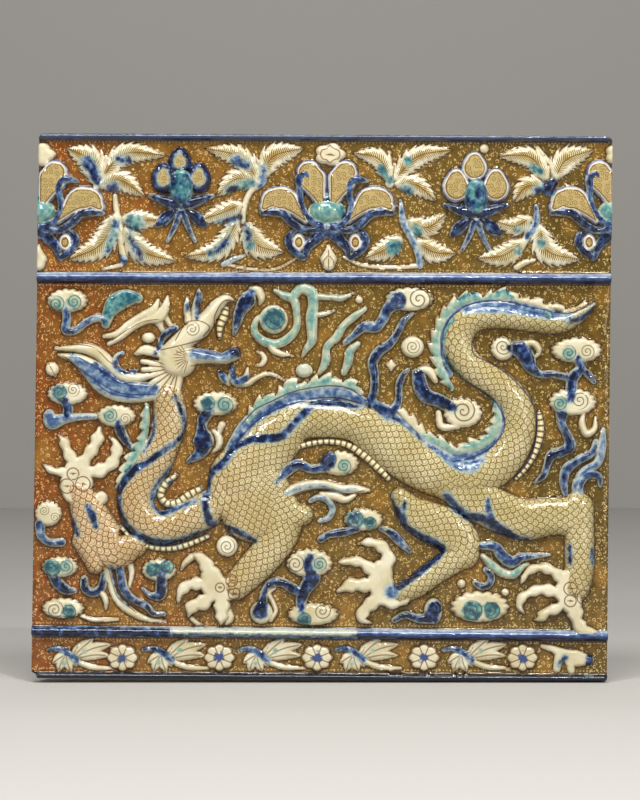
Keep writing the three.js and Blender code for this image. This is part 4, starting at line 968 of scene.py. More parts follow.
def squeeze_corner(points, corner, out, outline):
    """Draws the lattice in at a corner, so that its edge follows the corner's own outline."""
    outline = np.array(outline, float)
    size = outline[0][0]
    centre = np.array(corner) - size * np.array(out)
    p, q = ((points - centre) * out).T
    chosen = (p > 0) & (q > 0)
    p, q = p[chosen], q[chosen]
    share = np.minimum(np.maximum(p, q) / size, 1)
    angle = np.arctan2(q, p)
    angles = np.arctan2(outline[:, 1], outline[:, 0])
    edge = np.column_stack([np.interp(angle, angles, outline[:, 0]), np.interp(angle, angles, outline[:, 1])])
    points[chosen] = centre + out * edge * share[:, None]


def lattice():
    """Points of the face, row by row from the bottom, with both counts a multiple of four cells."""
    across = 4 * round((TOP_RIGHT[0] - TOP_LEFT[0]) / SMALLEST_CELL / 4)
    up = 4 * round((TOP_LEFT[1] - BOTTOM_LEFT[1]) / SMALLEST_CELL / 4)
    u = np.linspace(0, 1, across + 1)[None, :, None]
    v = np.linspace(0, 1, up + 1)[:, None, None]
    low = np.array(BOTTOM_LEFT) * (1 - u) + np.array(BOTTOM_RIGHT) * u
    high = np.array(TOP_LEFT) * (1 - u) + np.array(TOP_RIGHT) * u
    points = (low * (1 - v) + high * v).reshape(-1, 2)
    bow = [(CORNER_RADIUS * math.cos(a), CORNER_RADIUS * math.sin(a)) for a in np.linspace(0, math.pi / 2, 7)]
    squeeze_corner(points, TOP_LEFT, (-1, 1), bow)
    squeeze_corner(points, TOP_RIGHT, (1, 1), bow)
    squeeze_corner(points, BOTTOM_RIGHT, (1, -1), bow)
    squeeze_corner(points, BOTTOM_LEFT, (-1, -1), CHIP)
    return points, up, across


def spread(mask):
    """The mask and every cell that touches it."""
    padded = np.pad(mask, 1)
    rows, columns = mask.shape
    return np.any([padded[a:a + rows, b:b + columns] for a in range(3) for b in range(3)], axis=0)


def in_blocks(mask, size):
    """Whether any cell of each block is set."""
    rows, columns = mask.shape
    return mask.reshape(rows // size, size, columns // size, size).any((1, 3))


def enlarge(mask, size):
    return np.repeat(np.repeat(mask, size, 0), size, 1)


def cell_sizes(label):
    """1 along every outline, 2 over the relief and 4 on open ground."""
    edge = np.zeros(label.shape, bool)
    edge[:, 1:] |= label[:, 1:] != label[:, :-1]
    edge[:, :-1] |= label[:, 1:] != label[:, :-1]
    edge[1:] |= label[1:] != label[:-1]
    edge[:-1] |= label[1:] != label[:-1]
    fine = in_blocks(edge, 2)
    open_ground = ~in_blocks(spread(fine), 2) & ~in_blocks(label >= 0, 4)
    return np.where(enlarge(open_ground, 4), 4, np.where(enlarge(fine, 2), 1, 2))


def triangles(sizes, height):
    """Triangles of the face as rows of three lattice numbers; a cell beside finer ones is cut as a fan."""
    width = sizes.shape[1] + 1
    beside = np.pad(sizes, 1, mode="edge")
    made = []
    for size in (1, 2, 4):
        j, i = np.nonzero(sizes[::size, ::size] == size)
        j, i = j * size, i * size
        a = j * width + i
        b, c, d = a + size, a + size * width + size, a + size * width
        middle = a + (size // 2) * (width + 1)
        half = size // 2
        finer = [
            beside[j, i + 1] < size,
            beside[j + 1, i + size + 1] < size,
            beside[j + size + 1, i + 1] < size,
            beside[j + 1, i] < size,
        ]
        fanned = np.any(finer, axis=0)
        rising = np.abs(height[a] - height[c]) <= np.abs(height[b] - height[d])
        for split, first, second in ((rising, (a, b, c), (a, c, d)), (~rising, (a, b, d), (b, c, d))):
            kept = split & ~fanned
            made.append(np.column_stack([corner[kept] for corner in first]))
            made.append(np.column_stack([corner[kept] for corner in second]))
        sides = ((a, b, half), (b, c, half * width), (c, d, -half), (d, a, -half * width))
        for hanging, (start, end, step) in zip(finer, sides):
            whole = fanned & ~hanging
            made.append(np.column_stack([middle[whole], start[whole], end[whole]]))
            cut = fanned & hanging
            made.append(np.column_stack([middle[cut], start[cut], start[cut] + step]))
            made.append(np.column_stack([middle[cut], start[cut] + step, end[cut]]))
    return np.vstack(made)


def draw_to_outlines(points, inside, rows, columns, reach):
    """Moves lattice points close to the relief's outline onto it and leaves the tile's own edge as it is."""
    least_slope = 0.4
    shape = (rows + 1, columns + 1)
    field = inside.reshape(shape)
    grid = points.reshape(*shape, 2)
    step_x = np.gradient(grid[..., 0], axis=1)
    step_z = np.gradient(grid[..., 1], axis=0)
    slope = np.stack([np.gradient(field, axis=1) / step_x, np.gradient(field, axis=0) / step_z], -1)
    steep = np.hypot(slope[..., 0], slope[..., 1])
    near = (np.abs(field) < reach) & (steep > least_slope)
    near[[0, -1]] = False
    near[:, [0, -1]] = False
    move = -field[near] / steep[near] ** 2
    length = np.abs(move) * steep[near]
    move *= np.minimum(1, reach / np.maximum(length, 1e-6))
    grid[near] += slope[near] * move[:, None]
    return grid.reshape(-1, 2)


def ring(x, z, radius, width):
    turns = np.linspace(0, 2 * math.pi, 13)
    return [[x + radius * math.cos(a), z + radius * math.sin(a), width] for a in turns]


def near_box(box, points, margin):
    x0, z0, x1, z1 = box
    return np.flatnonzero((points[:, 0] > x0 - margin) & (points[:, 0] < x1 + margin)
                          & (points[:, 1] > z0 - margin) & (points[:, 1] < z1 + margin))


def painted(corners, owner):
    """Signed distances to the edge of each pigment, and its density, at each face's corners."""
    layers = np.full((*corners.shape[:2], 3), -FAR)
    layers[..., 2] = 0
    flat = layers.reshape(-1, 3)
    points = corners.reshape(-1, 2)
    on_relief = np.repeat(owner >= 0, 3)

    def lay(chosen, inside, paint):
        cobalt, turquoise, density = paint
        chosen_in = inside > np.where(cobalt, flat[chosen, 0], flat[chosen, 1])
        stronger = chosen[chosen_in & (inside > -1)]
        for column, used in ((0, cobalt), (1, turquoise)):
            if used:
                flat[chosen, column] = np.maximum(flat[chosen, column], inside)
        flat[stronger, 2] = density

    for k, motif in enumerate(motifs):
        if not motif["paint"][2]:
            continue
        chosen = np.flatnonzero(np.repeat(owner == k, 3))
        if len(chosen):
            inside = motif["measure"](points[chosen])[0] - motif["rim"]
            lay(chosen, -inside if motif["only_edge"] else inside, motif["paint"])
    washes = [("blue", mirrored(SCROLL_WASH, x, SCROLL_Z, 1)) for x in SCROLL_STARTS]
    washes += [("pale turquoise", mirrored(tint, x, SCROLL_Z, 1))
               for x in SCROLL_STARTS for tint in SCROLL_TINTS]
    washes += [(paint, [[x, z, TAIL_WASH * width] for x, z, width in spine])
               for paint, spine in CLOUD_TAILS if paint != "cream"]
    strokes = [(PAINTS[paint], *ribbon(spine)) for paint, spine in STROKES + washes]
    strokes += [(PAINTS[paint], *knob(x, z, r, r)) for x, z, r, paint, _ in CURLS if paint != "cream"]
    for paint, measure, box in strokes:
        chosen = near_box(box, points, 2)
        chosen = chosen[on_relief[chosen]]
        if len(chosen):
            lay(chosen, measure(points[chosen])[0], paint)
    return layers


def lined(corners, centres, owner):
    """The painted line nearest each face: how far across it the corners lie, in half widths, and its tone."""
    lines = list(LINES)
    for x, z, radius in PADS:
        lines += [(0, ring(x, z, 0.86 * radius, 0.9)), (0, [[x, z, 1.8], [x + 0.3, z, 1.8]])]
    x, z = WHISKER_ROOT
    for angle in WHISKER_ANGLES:
        a = math.radians(angle)
        lines.append((0, [[x + r * math.cos(a), z + r * math.sin(a), 0.7] for r in (3, 6, 9)]))
    lines += [(0, ruff_strand(angle + RUFF_LINE_TURN, (0.9, 0.9))) for angle in RUFF_ANGLES]
    found = np.full(len(centres), 2.0)
    across = np.full((*corners.shape[:2], 3), FAR)
    across[..., 1:] = 0
    for tone, spine in lines:
        curve = smooth_curve(spine, 0.8)
        chosen = near_box(around(curve, curve[:, 2].max()), centres, 2)
        chosen = chosen[owner[chosen] >= 0]
        if not len(chosen):
            continue
        distance, _, _, half = follow(curve, centres[chosen])
        gap = distance - half
        closer = gap < found[chosen]
        chosen = chosen[closer]
        found[chosen] = gap[closer]
        distance, _, side, half = follow(curve, corners[chosen].reshape(-1, 2))
        across[chosen, :, 0] = (np.where(side < 0, -distance, distance) / half).reshape(-1, 3)
        across[chosen, :, 1] = tone
    return across


def curled(corners, centres, owner):
    """Place within the nearest painted curl, as a share of its radius, for a spiral drawn in the glaze."""
    shares = np.zeros((*corners.shape[:2], 3))
    shares[..., :2] = FAR
    found = np.full(len(centres), 1.3)
    for x, z, radius, _, turn in CURLS:
        gap = np.hypot(centres[:, 0] - x, centres[:, 1] - z) / radius
        chosen = np.flatnonzero((gap < found) & (owner >= 0))
        found[chosen] = gap[chosen]
        shares[chosen, :, 0] = (corners[chosen, :, 0] - x) / radius
        shares[chosen, :, 1] = turn * (corners[chosen, :, 1] - z) / radius
        shares[chosen, :, 2] = 1
    return shares


def ground_swell(points):
    """The pressed ground is never quite level."""
    x, z = points.T
    return SWELL * np.sin(x / 9.0 + np.sin(z / 13.0) * 1.7) * np.sin(z / 7.3 + 1.1 * np.sin(x / 17.0))


def build_tile():
    """The face as a lattice, then the sides and the back, with what the glaze needs at every corner."""
    points, up, across = lattice()
    grid = points.reshape(up + 1, across + 1, 2)
    centres = 0.25 * (grid[1:, 1:] + grid[:-1, 1:] + grid[1:, :-1] + grid[:-1, :-1]).reshape(-1, 2)
    label, gap = owners(len(centres), survey(centres, HOLD), HOLD)
    label[gap < 0] = -1
    sizes = cell_sizes(label.reshape(up, across))

    points = draw_to_outlines(points, heights(points)[0], up, across, 0.6 * SMALLEST_CELL)
    deep, height = heights(points)
    faces = triangles(sizes, height)
    corners = points[faces]
    middles = corners.mean(1)
    owner, gap = owners(len(middles), survey(middles, HOLD), HOLD)
    owner[gap < 0] = -1

    local = np.zeros((len(faces), 3, 3))
    local[..., 2] = deep[faces]
    for k, motif in enumerate(motifs):
        chosen = np.flatnonzero(owner == k)
        if len(chosen):
            inside, along, offset, _ = motif["measure"](corners[chosen].reshape(-1, 2))
            local[chosen] = np.stack([along, offset, inside], -1).reshape(-1, 3, 3)
    finish = np.array([FINISHES.index(m["finish"]) for m in motifs] + [FINISHES.index("ground")])[owner]
    glaze = painted(corners, owner)
    line = lined(corners, middles, owner)

    y = -(SLAB_DEPTH + np.maximum(height, 0) + ground_swell(points) * (height < 0.3))
    bottom = np.arange(across + 1)
    right = np.arange(up + 1) * (across + 1) + across
    edge = np.concatenate([bottom, right[1:], (up * (across + 1) + bottom)[-2::-1], right[-2:0:-1] - across])
    used = np.unique(faces)
    edge = edge[np.isin(edge, used)]
    new_number = np.full(len(points), -1)
    new_number[used] = np.arange(len(used))
    front = np.column_stack([points[used, 0], y[used], points[used, 1]])

    rim = points[edge]
    count = len(rim)
    sides = []
    for depth, inset in ((SLAB_DEPTH - LIP, 0), (SLAB_DEPTH / 2, BACK_INSET / 2), (0, BACK_INSET)):
        drawn_in = rim * (1 - inset / HALF_FACE)
        sides.append(np.column_stack([drawn_in[:, 0], np.full(count, -depth), drawn_in[:, 1]]))
    rings = [new_number[edge]] + [len(used) + n * count + np.arange(count) for n in range(3)]
    middle = len(used) + 3 * count
    walls = []
    for outer, inner in zip(rings[:-1], rings[1:]):
        after_outer, after_inner = np.roll(outer, -1), np.roll(inner, -1)
        walls.append(np.column_stack([outer, inner, after_outer]))
        walls.append(np.column_stack([after_outer, inner, after_inner]))
    walls.append(np.column_stack([rings[3], np.full(count, middle), np.roll(rings[3], -1)]))
    walls = np.vstack(walls)
    vertices = np.vstack([front, *sides, [[0, 0, 0]]]) * MM
    return vertices, new_number[faces], walls, finish, {
        "local": local, "glaze": glaze, "line": line, "curl": curled(corners, middles, owner),
    }


# Middle and scale of the back's patch in the baked picture
BACK_PATCH = (0.045, 0.08)


def front_uv(vertices):
    """The front seen square on and the sides unrolled around it, for the baked colour."""
    frame_size = 456.0
    half_wide, half_high = 190, 180
    corner_share = 0.97
    unroll = 0.9
    x, y, z = (vertices / MM).T
    outward = np.clip(y + SLAB_DEPTH, 0, SLAB_DEPTH) * unroll
    wide, high = np.abs(x) / half_wide, np.abs(z) / half_high
    corner = np.maximum(wide, high) * corner_share
    moved = [x + np.where(wide > corner, np.sign(x), 0) * outward,
             z + np.where(high > corner, np.sign(z), 0) * outward]
    return np.column_stack(moved) / frame_size + 0.5


def make_mesh():
    vertices, faces, walls, finish, attributes = build_tile()
    mesh = bpy.data.meshes.new("glazed tile")
    every = np.vstack([faces, walls])
    mesh.from_pydata(vertices.tolist(), [], every.tolist())
    for name, values in attributes.items():
        layer = mesh.attributes.new(name, "FLOAT_VECTOR", "CORNER")
        plain = np.zeros((len(walls) * 3, 3))
        plain[:, 0] = FAR if name in ("line", "curl") else 0
        layer.data.foreach_set("vector", np.vstack([values.reshape(-1, 3), plain]).ravel())
    for name in FINISHES:
        mesh.materials.append(FINISH_MATERIALS[name]())
    kinds = np.concatenate([finish, np.full(len(walls), FINISHES.index("bare"))])
    mesh.polygons.foreach_set("material_index", kinds)
    uv = front_uv(vertices)[every.ravel()]
    # The back is bare and all alike, so it takes only a small patch in a corner of the baked picture
    back = np.repeat(np.abs(vertices[every][:, :, 1]).max(1) < 1e-9, 3)
    uv[back] = BACK_PATCH[0] + BACK_PATCH[1] * (uv[back] - 0.5)
    mesh.uv_layers.new(name="OFBake").data.foreach_set("uv", uv.ravel())
    mesh.polygons.foreach_set("use_smooth", np.arange(len(every)) < len(faces))
    mesh.update()
    tile = bpy.data.objects.new("glazed_tile", mesh)
    bpy.context.scene.collection.objects.link(tile)
    return tile


def colour(text):
    """An sRGB hex colour as linear values."""
    parts = [int(text[n:n + 2], 16) / 255 for n in (1, 3, 5)]
    return (*[p / 12.92 if p <= 0.04045 else ((p + 0.055) / 1.055) ** 2.4 for p in parts], 1)


def per(size):
    """The texture scale whose features are about this many millimetres."""
    return 1 / (size * MM)


def add(tree, kind, links=(), out=0, stops=(), **settings):
    """Adds a node, sets it, and joins or sets its inputs; hex text stands for a colour."""
    made = tree.nodes.new("ShaderNode" + kind)
    for name, value in settings.items():
        setattr(made, name, value)
    for key, value in links.items() if isinstance(links, dict) else enumerate(links):
        if isinstance(value, bpy.types.NodeSocket):
            tree.links.new(value, made.inputs[key])
        else:
            made.inputs[key].default_value = colour(value) if isinstance(value, str) else value
    for n, (place, tone) in enumerate(stops):
        stop = made.color_ramp.elements[n] if n < 2 else made.color_ramp.elements.new(place)
        stop.position = place
        stop.color = colour(tone)
    return made.outputs if out is None else made.outputs[out]


SMOOTH = {"interpolation_type": "SMOOTHSTEP"}
TINT = {"out": 2, "data_type": "RGBA"}


def start_material(name, rough):
    """A new material, what adds nodes to it, and its shader."""
    material = bpy.data.materials.new(name)
    material.use_nodes = True
    shader = material.node_tree.nodes["Principled BSDF"]
    shader.inputs["Roughness"].default_value = rough
    return material, functools.partial(add, material.node_tree), shader


def spots(node, size, detail=2.0, shift=0.0):
    """Soft patches of about this size in millimetres, between 0 and 1."""
    place = node("TexCoord", out=3)
    moved = node("VectorMath", (place, (shift, 0.0, shift)))
    return node("TexNoise", {"Vector": moved, "Scale": per(size), "Detail": detail})


def stroke(node, value, place, outer, inner, strength=1.0):
    """A drawn line where a value passes this place, fading between two distances from it."""
    away = node("Math", (node("Math", (value, place), operation="SUBTRACT"),), operation="ABSOLUTE")
    return node("MapRange", (away, outer, inner, 0.0, strength), **SMOOTH)


def drawn_over(node, base, marks, strength, tone):
    """The base with its marks drawn over it in another tone."""
    return node("Mix", {0: node("Math", (marks, strength), operation="MULTIPLY"), 6: base, 7: tone}, **TINT)


def dark_foot(node, base, inside, outer, inner, strength, tone):
    """The base turned towards a darker tone along the foot of its form."""
    foot = node("MapRange", (inside, outer, inner, 0.0, strength), **SMOOTH)
    return node("Mix", {0: foot, 6: base, 7: tone}, **TINT)


def local_parts(node):
    """How far along, across and inside its form a place lies, in millimetres."""
    return node("SeparateXYZ", (node("Attribute", out=1, attribute_name="local"),), out=None)


def spiral(node, u, v, turns):
    """A drawn curl round the middle, out to a reach of one."""
    reach = node("VectorMath", (node("CombineXYZ", (u, v)),), out=1, operation="LENGTH")
    angle = node("Math", (node("Math", (v, u), operation="ARCTAN2"), 2 * math.pi), operation="DIVIDE")
    winding = node("Math", (node("Math", (reach, turns), operation="MULTIPLY"), angle), operation="SUBTRACT")
    beside = node("Math", (winding, 0.5), operation="PINGPONG")
    line = node("MapRange", (beside, 0.2, 0.08), **SMOOTH)
    return node("Math", (line, node("Math", (reach, 1.0), operation="LESS_THAN")), operation="MULTIPLY")


def overpaint(node, body, bleed):
    """Cobalt, turquoise and drawn lines laid over the body colour; bleed is how far their edges run."""
    cobalt, turquoise, density, across, tone, _, u, v, curled = [
        part for name in ("glaze", "line", "curl")
        for part in node("SeparateXYZ", (node("Attribute", out=1, attribute_name=name),), out=None)]
    wander = node("MapRange", (spots(node, 3.0), 0.0, 1.0, -1.5 * bleed, 1.5 * bleed))
    pooled = node("MapRange", (spots(node, 4.5, 4.0, 0.3), 0.3, 0.7, -0.46, 0.46))
    swing = node("Math", (density, 0.25), operation="ADD")
    depth = node("Math", (pooled, swing, density), operation="MULTIPLY_ADD")

    sky_edge = node("Math", (turquoise, wander), operation="ADD")
    sky = node("MapRange", (sky_edge, -0.9 * bleed, 1.1 * bleed), **SMOOTH)
    sky_depth = node("Math", (depth, node("MapRange", (sky_edge, 3.0, 0.0, 0.0, -0.25))), operation="ADD")
    night_edge = node("Math", (cobalt, wander), operation="ADD")
    night = node("MapRange", (night_edge, -0.9 * bleed, 1.1 * bleed), **SMOOTH)
    night_depth = node("Math", (depth, node("MapRange", (night_edge, 2.2, 0.0, 0.0, -0.35))), operation="ADD")
    patches = node("MapRange", (spots(node, 6, 2.0, 0.6), 0.4, 0.58), **SMOOTH)
    both = node("Math", (sky, patches), operation="MULTIPLY")
    night = node("Math", (night, node("Math", (1.0, both), operation="SUBTRACT")), operation="MULTIPLY")
    halo = node("MapRange", (night_edge, -2.4 * bleed, -0.2, 0.0, 0.4), **SMOOTH)
    body = node("Mix", {0: halo, 6: body, 7: "#8FA79A"}, **TINT)
    laid = node("Mix", {0: sky, 6: body, 7: node("ValToRGB", (sky_depth,), stops=TURQUOISE)}, **TINT)
    laid = node("Mix", {0: night, 6: laid, 7: node("ValToRGB", (night_depth,), stops=COBALT)}, **TINT)

    drawn = stroke(node, across, 0.0, 1.35, 0.6)
    coil = node("Math", (spiral(node, u, v, CURL_TURNS), curled), operation="MULTIPLY")
    ink = node("Mix", {0: tone, 6: "#6F4A1E", 7: "#232A52"}, **TINT)
    return drawn_over(node, drawn_over(node, laid, coil, 0.8, "#4A3E28"), drawn, 0.85, ink)


def glazed(name, paint_body, rough=0.09, bleed=1.0, metallic=0.0):
    """Glazed body: its own colour, then the pigments, under a clear glaze that ripples a little."""
    material, node, shader = start_material(name, rough)
    links = material.node_tree.links
    links.new(overpaint(node, paint_body(node), bleed), shader.inputs["Base Color"])
    shader.inputs["IOR"].default_value = 1.55
    shader.inputs["Metallic"].default_value = metallic
    fine = node("Math", (spots(node, 1.6, 1.0, 0.2), 0.25), operation="MULTIPLY")
    ripple = node("Math", (spots(node, 7, 2.0, 0.1), fine), operation="ADD")
    bump = node("Bump", {"Height": ripple, "Distance": 0.7 * MM, "Strength": 0.8})
    links.new(bump, shader.inputs["Normal"])
    return material


def cream_body(node):
    """White slip, a little yellower in places and brown at its foot for pooled glaze and painted shade."""
    _, _, inside = local_parts(node)
    tone = node("ValToRGB", (spots(node, 18, 3.0),), stops=[(0.3, "#BFB289"), (0.7, "#DED6BA")])
    # The brown at the foot stands for glaze pooled there and for painted shade where the form meets its
    # ground
    return dark_foot(node, tone, inside, 0.9, 0.0, 0.8, "#8A6630")


def scale_body(node):
    """Overlapping scales in staggered rows along the body, each with a second line inside it."""
    along, across, inside = local_parts(node)
    wander = node("MapRange", (spots(node, 6), 0.0, 1.0, -1.1, 1.1))
    row = node("Math", (node("Math", (along, wander), operation="ADD"), SCALE_PITCH), operation="DIVIDE")
    number = node("Math", (row,), operation="FLOOR")
    odd = node("Math", (number, 1.0), operation="PINGPONG")
    sway = node("MapRange", (spots(node, 5, 2.0, 1.3), 0.0, 1.0, -1.0, 1.0))
    across = node("Math", (across, sway), operation="ADD")
    place = node("Math", (across, 1 / SCALE_WIDTH, node("Math", (odd, 0.5), operation="MULTIPLY")),
                 operation="MULTIPLY_ADD")
    sideways = node("Math", (place, node("Math", (place,), operation="ROUND")), operation="SUBTRACT")
    onward = node("Math", (row, number), operation="SUBTRACT")
    within = node("CombineXYZ", (node("Math", (sideways, 2.0), operation="MULTIPLY"), onward))
    reach = node("VectorMath", (within,), out=1, operation="LENGTH")
    line = stroke(node, reach, 1.0, 0.22, 0.08)
    inner = stroke(node, reach, 0.5, 0.2, 0.05, 0.5)
    x, _, _ = node("SeparateXYZ", (node("TexCoord", out=3),), out=None)
    east = node("MapRange", (x, -0.17, -0.02))
    skin = node("Mix", {0: east, 6: "#C6A97A", 7: "#B9AD78"}, **TINT)
    light = node("Mix", {0: east, 6: "#D4BC92", 7: "#CFC598"}, **TINT)
    tone = node("Mix", {0: node("MapRange", (spots(node, 20, 3.0), 0.35, 0.65)), 6: skin, 7: light}, **TINT)
    brown = node("Mix", {0: east, 6: "#7C4822", 7: "#755626"}, **TINT)
    strong = node("Math", (line, inner), operation="MAXIMUM")
    # The foot of the body is darkened brown for pooled glaze and painted shade
    return dark_foot(node, drawn_over(node, tone, strong, 0.9, brown), inside, 1.4, 0.0, 0.8, "#6E5024")


def leaf_body(node):
    """A cream serrated border round a brown field drawn with slanting veins."""
    along, across, inside = local_parts(node)
    side = node("Math", (across,), operation="ABSOLUTE")
    whole = node("Math", (node("Math", (side, inside), operation="ADD"), 0.5), operation="MAXIMUM")
    share = node("Math", (side, whole), operation="DIVIDE")
    slanted = node("Math", (side, -VEIN_SLANT, along), operation="MULTIPLY_ADD")
    fine = node("Math", (slanted, 0.7), operation="PINGPONG")
    vein = node("MapRange", (fine, 0.0, 0.7))
    ragged = node("Math", (vein, 0.35, share), operation="MULTIPLY_ADD")
    field = node("MapRange", (ragged, 0.7, 0.5), **SMOOTH)
    started = node("MapRange", (along, 2.0, 6.0), **SMOOTH)
    field = node("Math", (field, started), operation="MULTIPLY")
    faded = node("MapRange", (spots(node, 8, 2.0, 0.9), 0.4, 0.6))
    wash = node("Mix", {0: faded, 6: "#CDBB88", 7: "#AE9050"}, **TINT)
    veins = node("Mix", {0: node("MapRange", (vein, 0.6, 0.25), **SMOOTH), 6: wash, 7: "#5C4420"}, **TINT)
    midrib = stroke(node, side, 0.0, 0.55, 0.25, 0.8)
    laid = node("Mix", {0: field, 6: cream_body(node), 7: veins}, **TINT)
    laid = drawn_over(node, laid, midrib, started, "#5C4420")
    coarse = node("Math", (slanted, 0.5 * VEIN_PITCH), operation="PINGPONG")
    notch = node("Math", (node("MapRange", (coarse, 0.55, 0.15), **SMOOTH),
                          node("MapRange", (share, 0.4, 0.8))), operation="MULTIPLY")
    return drawn_over(node, laid, notch, 0.45, "#6A4C20")


def lobe_body(node):
    """Cream with a brown line along the middle of each lobe."""
    _, across, inside = local_parts(node)
    kept = node("MapRange", (inside, 0.8, 1.4), **SMOOTH)
    line = node("Math", (stroke(node, across, 0.0, 0.65, 0.3), kept), operation="MULTIPLY")
    return drawn_over(node, cream_body(node), line, 0.75, "#6A4A20")


def petal_body(node):
    """A grey-violet rim with paler patches of painted highlight, a cream band, and a golden middle filled
    with small drawn scrolls.
    """
    _, _, inside = local_parts(node)
    x, _, z = node("SeparateXYZ", (node("TexCoord", out=3),), out=None)
    place = node("CombineXYZ", (x, z))
    centre = node("TexVoronoi", {"Vector": place, "Scale": per(3.9), "Randomness": 0.6}, out=2,
                  voronoi_dimensions="2D")
    away = node("VectorMath", (place, centre), operation="SUBTRACT")
    share = node("VectorMath", {0: away, "Scale": per(1.9)}, operation="SCALE")
    across, along, _ = node("SeparateXYZ", (share,), out=None)
    gold = drawn_over(node, "#AE9862", spiral(node, across, along, 1.5), 0.85, "#4C3212")
    # The rim runs from dark violet-blue to pale grey; the pale patches are painted highlight
    rim_tone = node("MapRange", (spots(node, 5, 2.0, 0.4), 0.35, 0.65))
    rim = node("Mix", {0: rim_tone, 6: "#565E8A", 7: "#C6C8D0"}, **TINT)
    band = node("MapRange", (inside, 1.1, 1.5), **SMOOTH)
    field = node("MapRange", (inside, 2.3, 2.7), **SMOOTH)
    laid = node("Mix", {0: band, 6: rim, 7: "#D8CCA6"}, **TINT)
    laid = node("Mix", {0: field, 6: laid, 7: gold}, **TINT)
    laid = node("Mix", {0: stroke(node, inside, 2.5, 0.6, 0.25, 0.9), 6: laid, 7: "#5E3C1C"}, **TINT)
    return dark_foot(node, laid, inside, 0.9, 0.0, 0.7, "#2A2A48")


def plate_body(node):
    """Cream bars side by side with brown lines between them."""
    along, _, inside = local_parts(node)
    bar = node("MapRange", (node("Math", (along, 1.9), operation="PINGPONG"), 1.0, 0.4), **SMOOTH)
    edge = node("MapRange", (inside, 0.9, 0.2), **SMOOTH)
    line = node("Math", (bar, edge), operation="MAXIMUM")
    return drawn_over(node, "#E3D5A6", line, 0.9, "#4E3C20")


def band_body(node):
    """Fine brown strokes side by side across a cream band."""
    along, across, inside = local_parts(node)
    slanted = node("Math", (across, 0.5, along), operation="MULTIPLY_ADD")
    hatch = node("MapRange", (node("Math", (slanted, 0.9), operation="PINGPONG"), 0.4, 0.15), **SMOOTH)
    edge = node("MapRange", (inside, 0.8, 0.2), **SMOOTH)
    line = node("Math", (hatch, edge), operation="MAXIMUM")
    return drawn_over(node, "#CFC8A4", line, 0.6, "#5C5640")


def rosette_body(node):
    """Eight petals drawn in brown round a blue heart."""
    x, z, inside = local_parts(node)
    angle = node("Math", (node("Math", (z, x), operation="ARCTAN2"), 4.0), operation="MULTIPLY")
    spoke = node("Math", (node("Math", (angle,), operation="COSINE"),), operation="ABSOLUTE")
    reach = node("VectorMath", (node("CombineXYZ", (x, z)),), out=1, operation="LENGTH")
    line = node("MapRange", (node("Math", (spoke, reach), operation="MULTIPLY"), 2.2, 0.9), **SMOOTH)
    edge = node("MapRange", (inside, 1.2, 0.5), **SMOOTH)
    lines = node("Math", (line, edge), operation="MAXIMUM")
    petals = drawn_over(node, cream_body(node), lines, 0.85, "#6E4C20")
    ragged = node("MapRange", (spots(node, 3, 2.0, 0.2), 0.3, 0.7, -1.6, 1.6))
    blurred = node("Math", (reach, ragged), operation="ADD")
    heart = node("MapRange", (blurred, 4.2, 2.2), **SMOOTH)
    return node("Mix", {0: heart, 6: petals, 7: "#384874"}, **TINT)


def moulding_body(node):
    """Blue brushed along the roll, pale along its top and dark under its lower edge, as painted light and
    shade.
    """
    along, across, _ = local_parts(node)
    place = node("CombineXYZ", (node("Math", (along, 0.5), operation="MULTIPLY"), across))
    streak = node("TexNoise", {"Vector": place, "Scale": 0.5, "Detail": 4.0})
    washes = node("TexNoise", {"Vector": node("CombineXYZ", (along,)), "Scale": 0.025, "Detail": 2.0})
    # Painted light: the blue is paler towards the top of the roll as a painted highlight and deeper below as
    # painted shade
    height = node("MapRange", (across, -3.4, 2.6, 0.42, -0.22))
    depth = node("Math", (streak, 0.6, node("Math", (washes, 0.6, height), operation="MULTIPLY_ADD")),
                 operation="MULTIPLY_ADD")
    laid = node("ValToRGB", (depth,), stops=MOULDING_BLUES)
    _, _, z = node("SeparateXYZ", (node("TexCoord", out=3),), out=None)
    worn = node("MapRange", (spots(node, 6, 4.0, 1.1), 0.4, 0.6, 0.5, 0.9))
    top = node("Math", (node("MapRange", (z, 0.165, 0.172)), worn), operation="MULTIPLY")
    laid = node("Mix", {0: top, 6: laid, 7: "#34373F"}, **TINT)
    # Painted shadow: the lowest moulding turns near black under the tile's lower edge
    foot = node("MapRange", (z, -0.165, -0.172, 0.0, 0.95))
    return node("Mix", {0: foot, 6: laid, 7: "#0B0D18"}, **TINT)


def dotted_rows(node):
    """Rows of small dots that run along the mouldings."""
    x, _, z = node("SeparateXYZ", (node("TexCoord", out=3),), out=None)
    bead = node("Math", (x, 0.5 * BEAD_PITCH * MM), operation="PINGPONG")
    rows = 0.0
    for level, tilt in BEAD_ROWS:
        away = node("Math", (x, -tilt, node("Math", (z, level * MM), operation="SUBTRACT")),
                    operation="MULTIPLY_ADD")
        reach = node("VectorMath", (node("CombineXYZ", (bead, away)),), out=1, operation="LENGTH")
        dot = node("MapRange", (reach, 0.55 * MM, 0.3 * MM), **SMOOTH)
        rows = node("Math", (rows, dot), operation="MAXIMUM")
    return rows


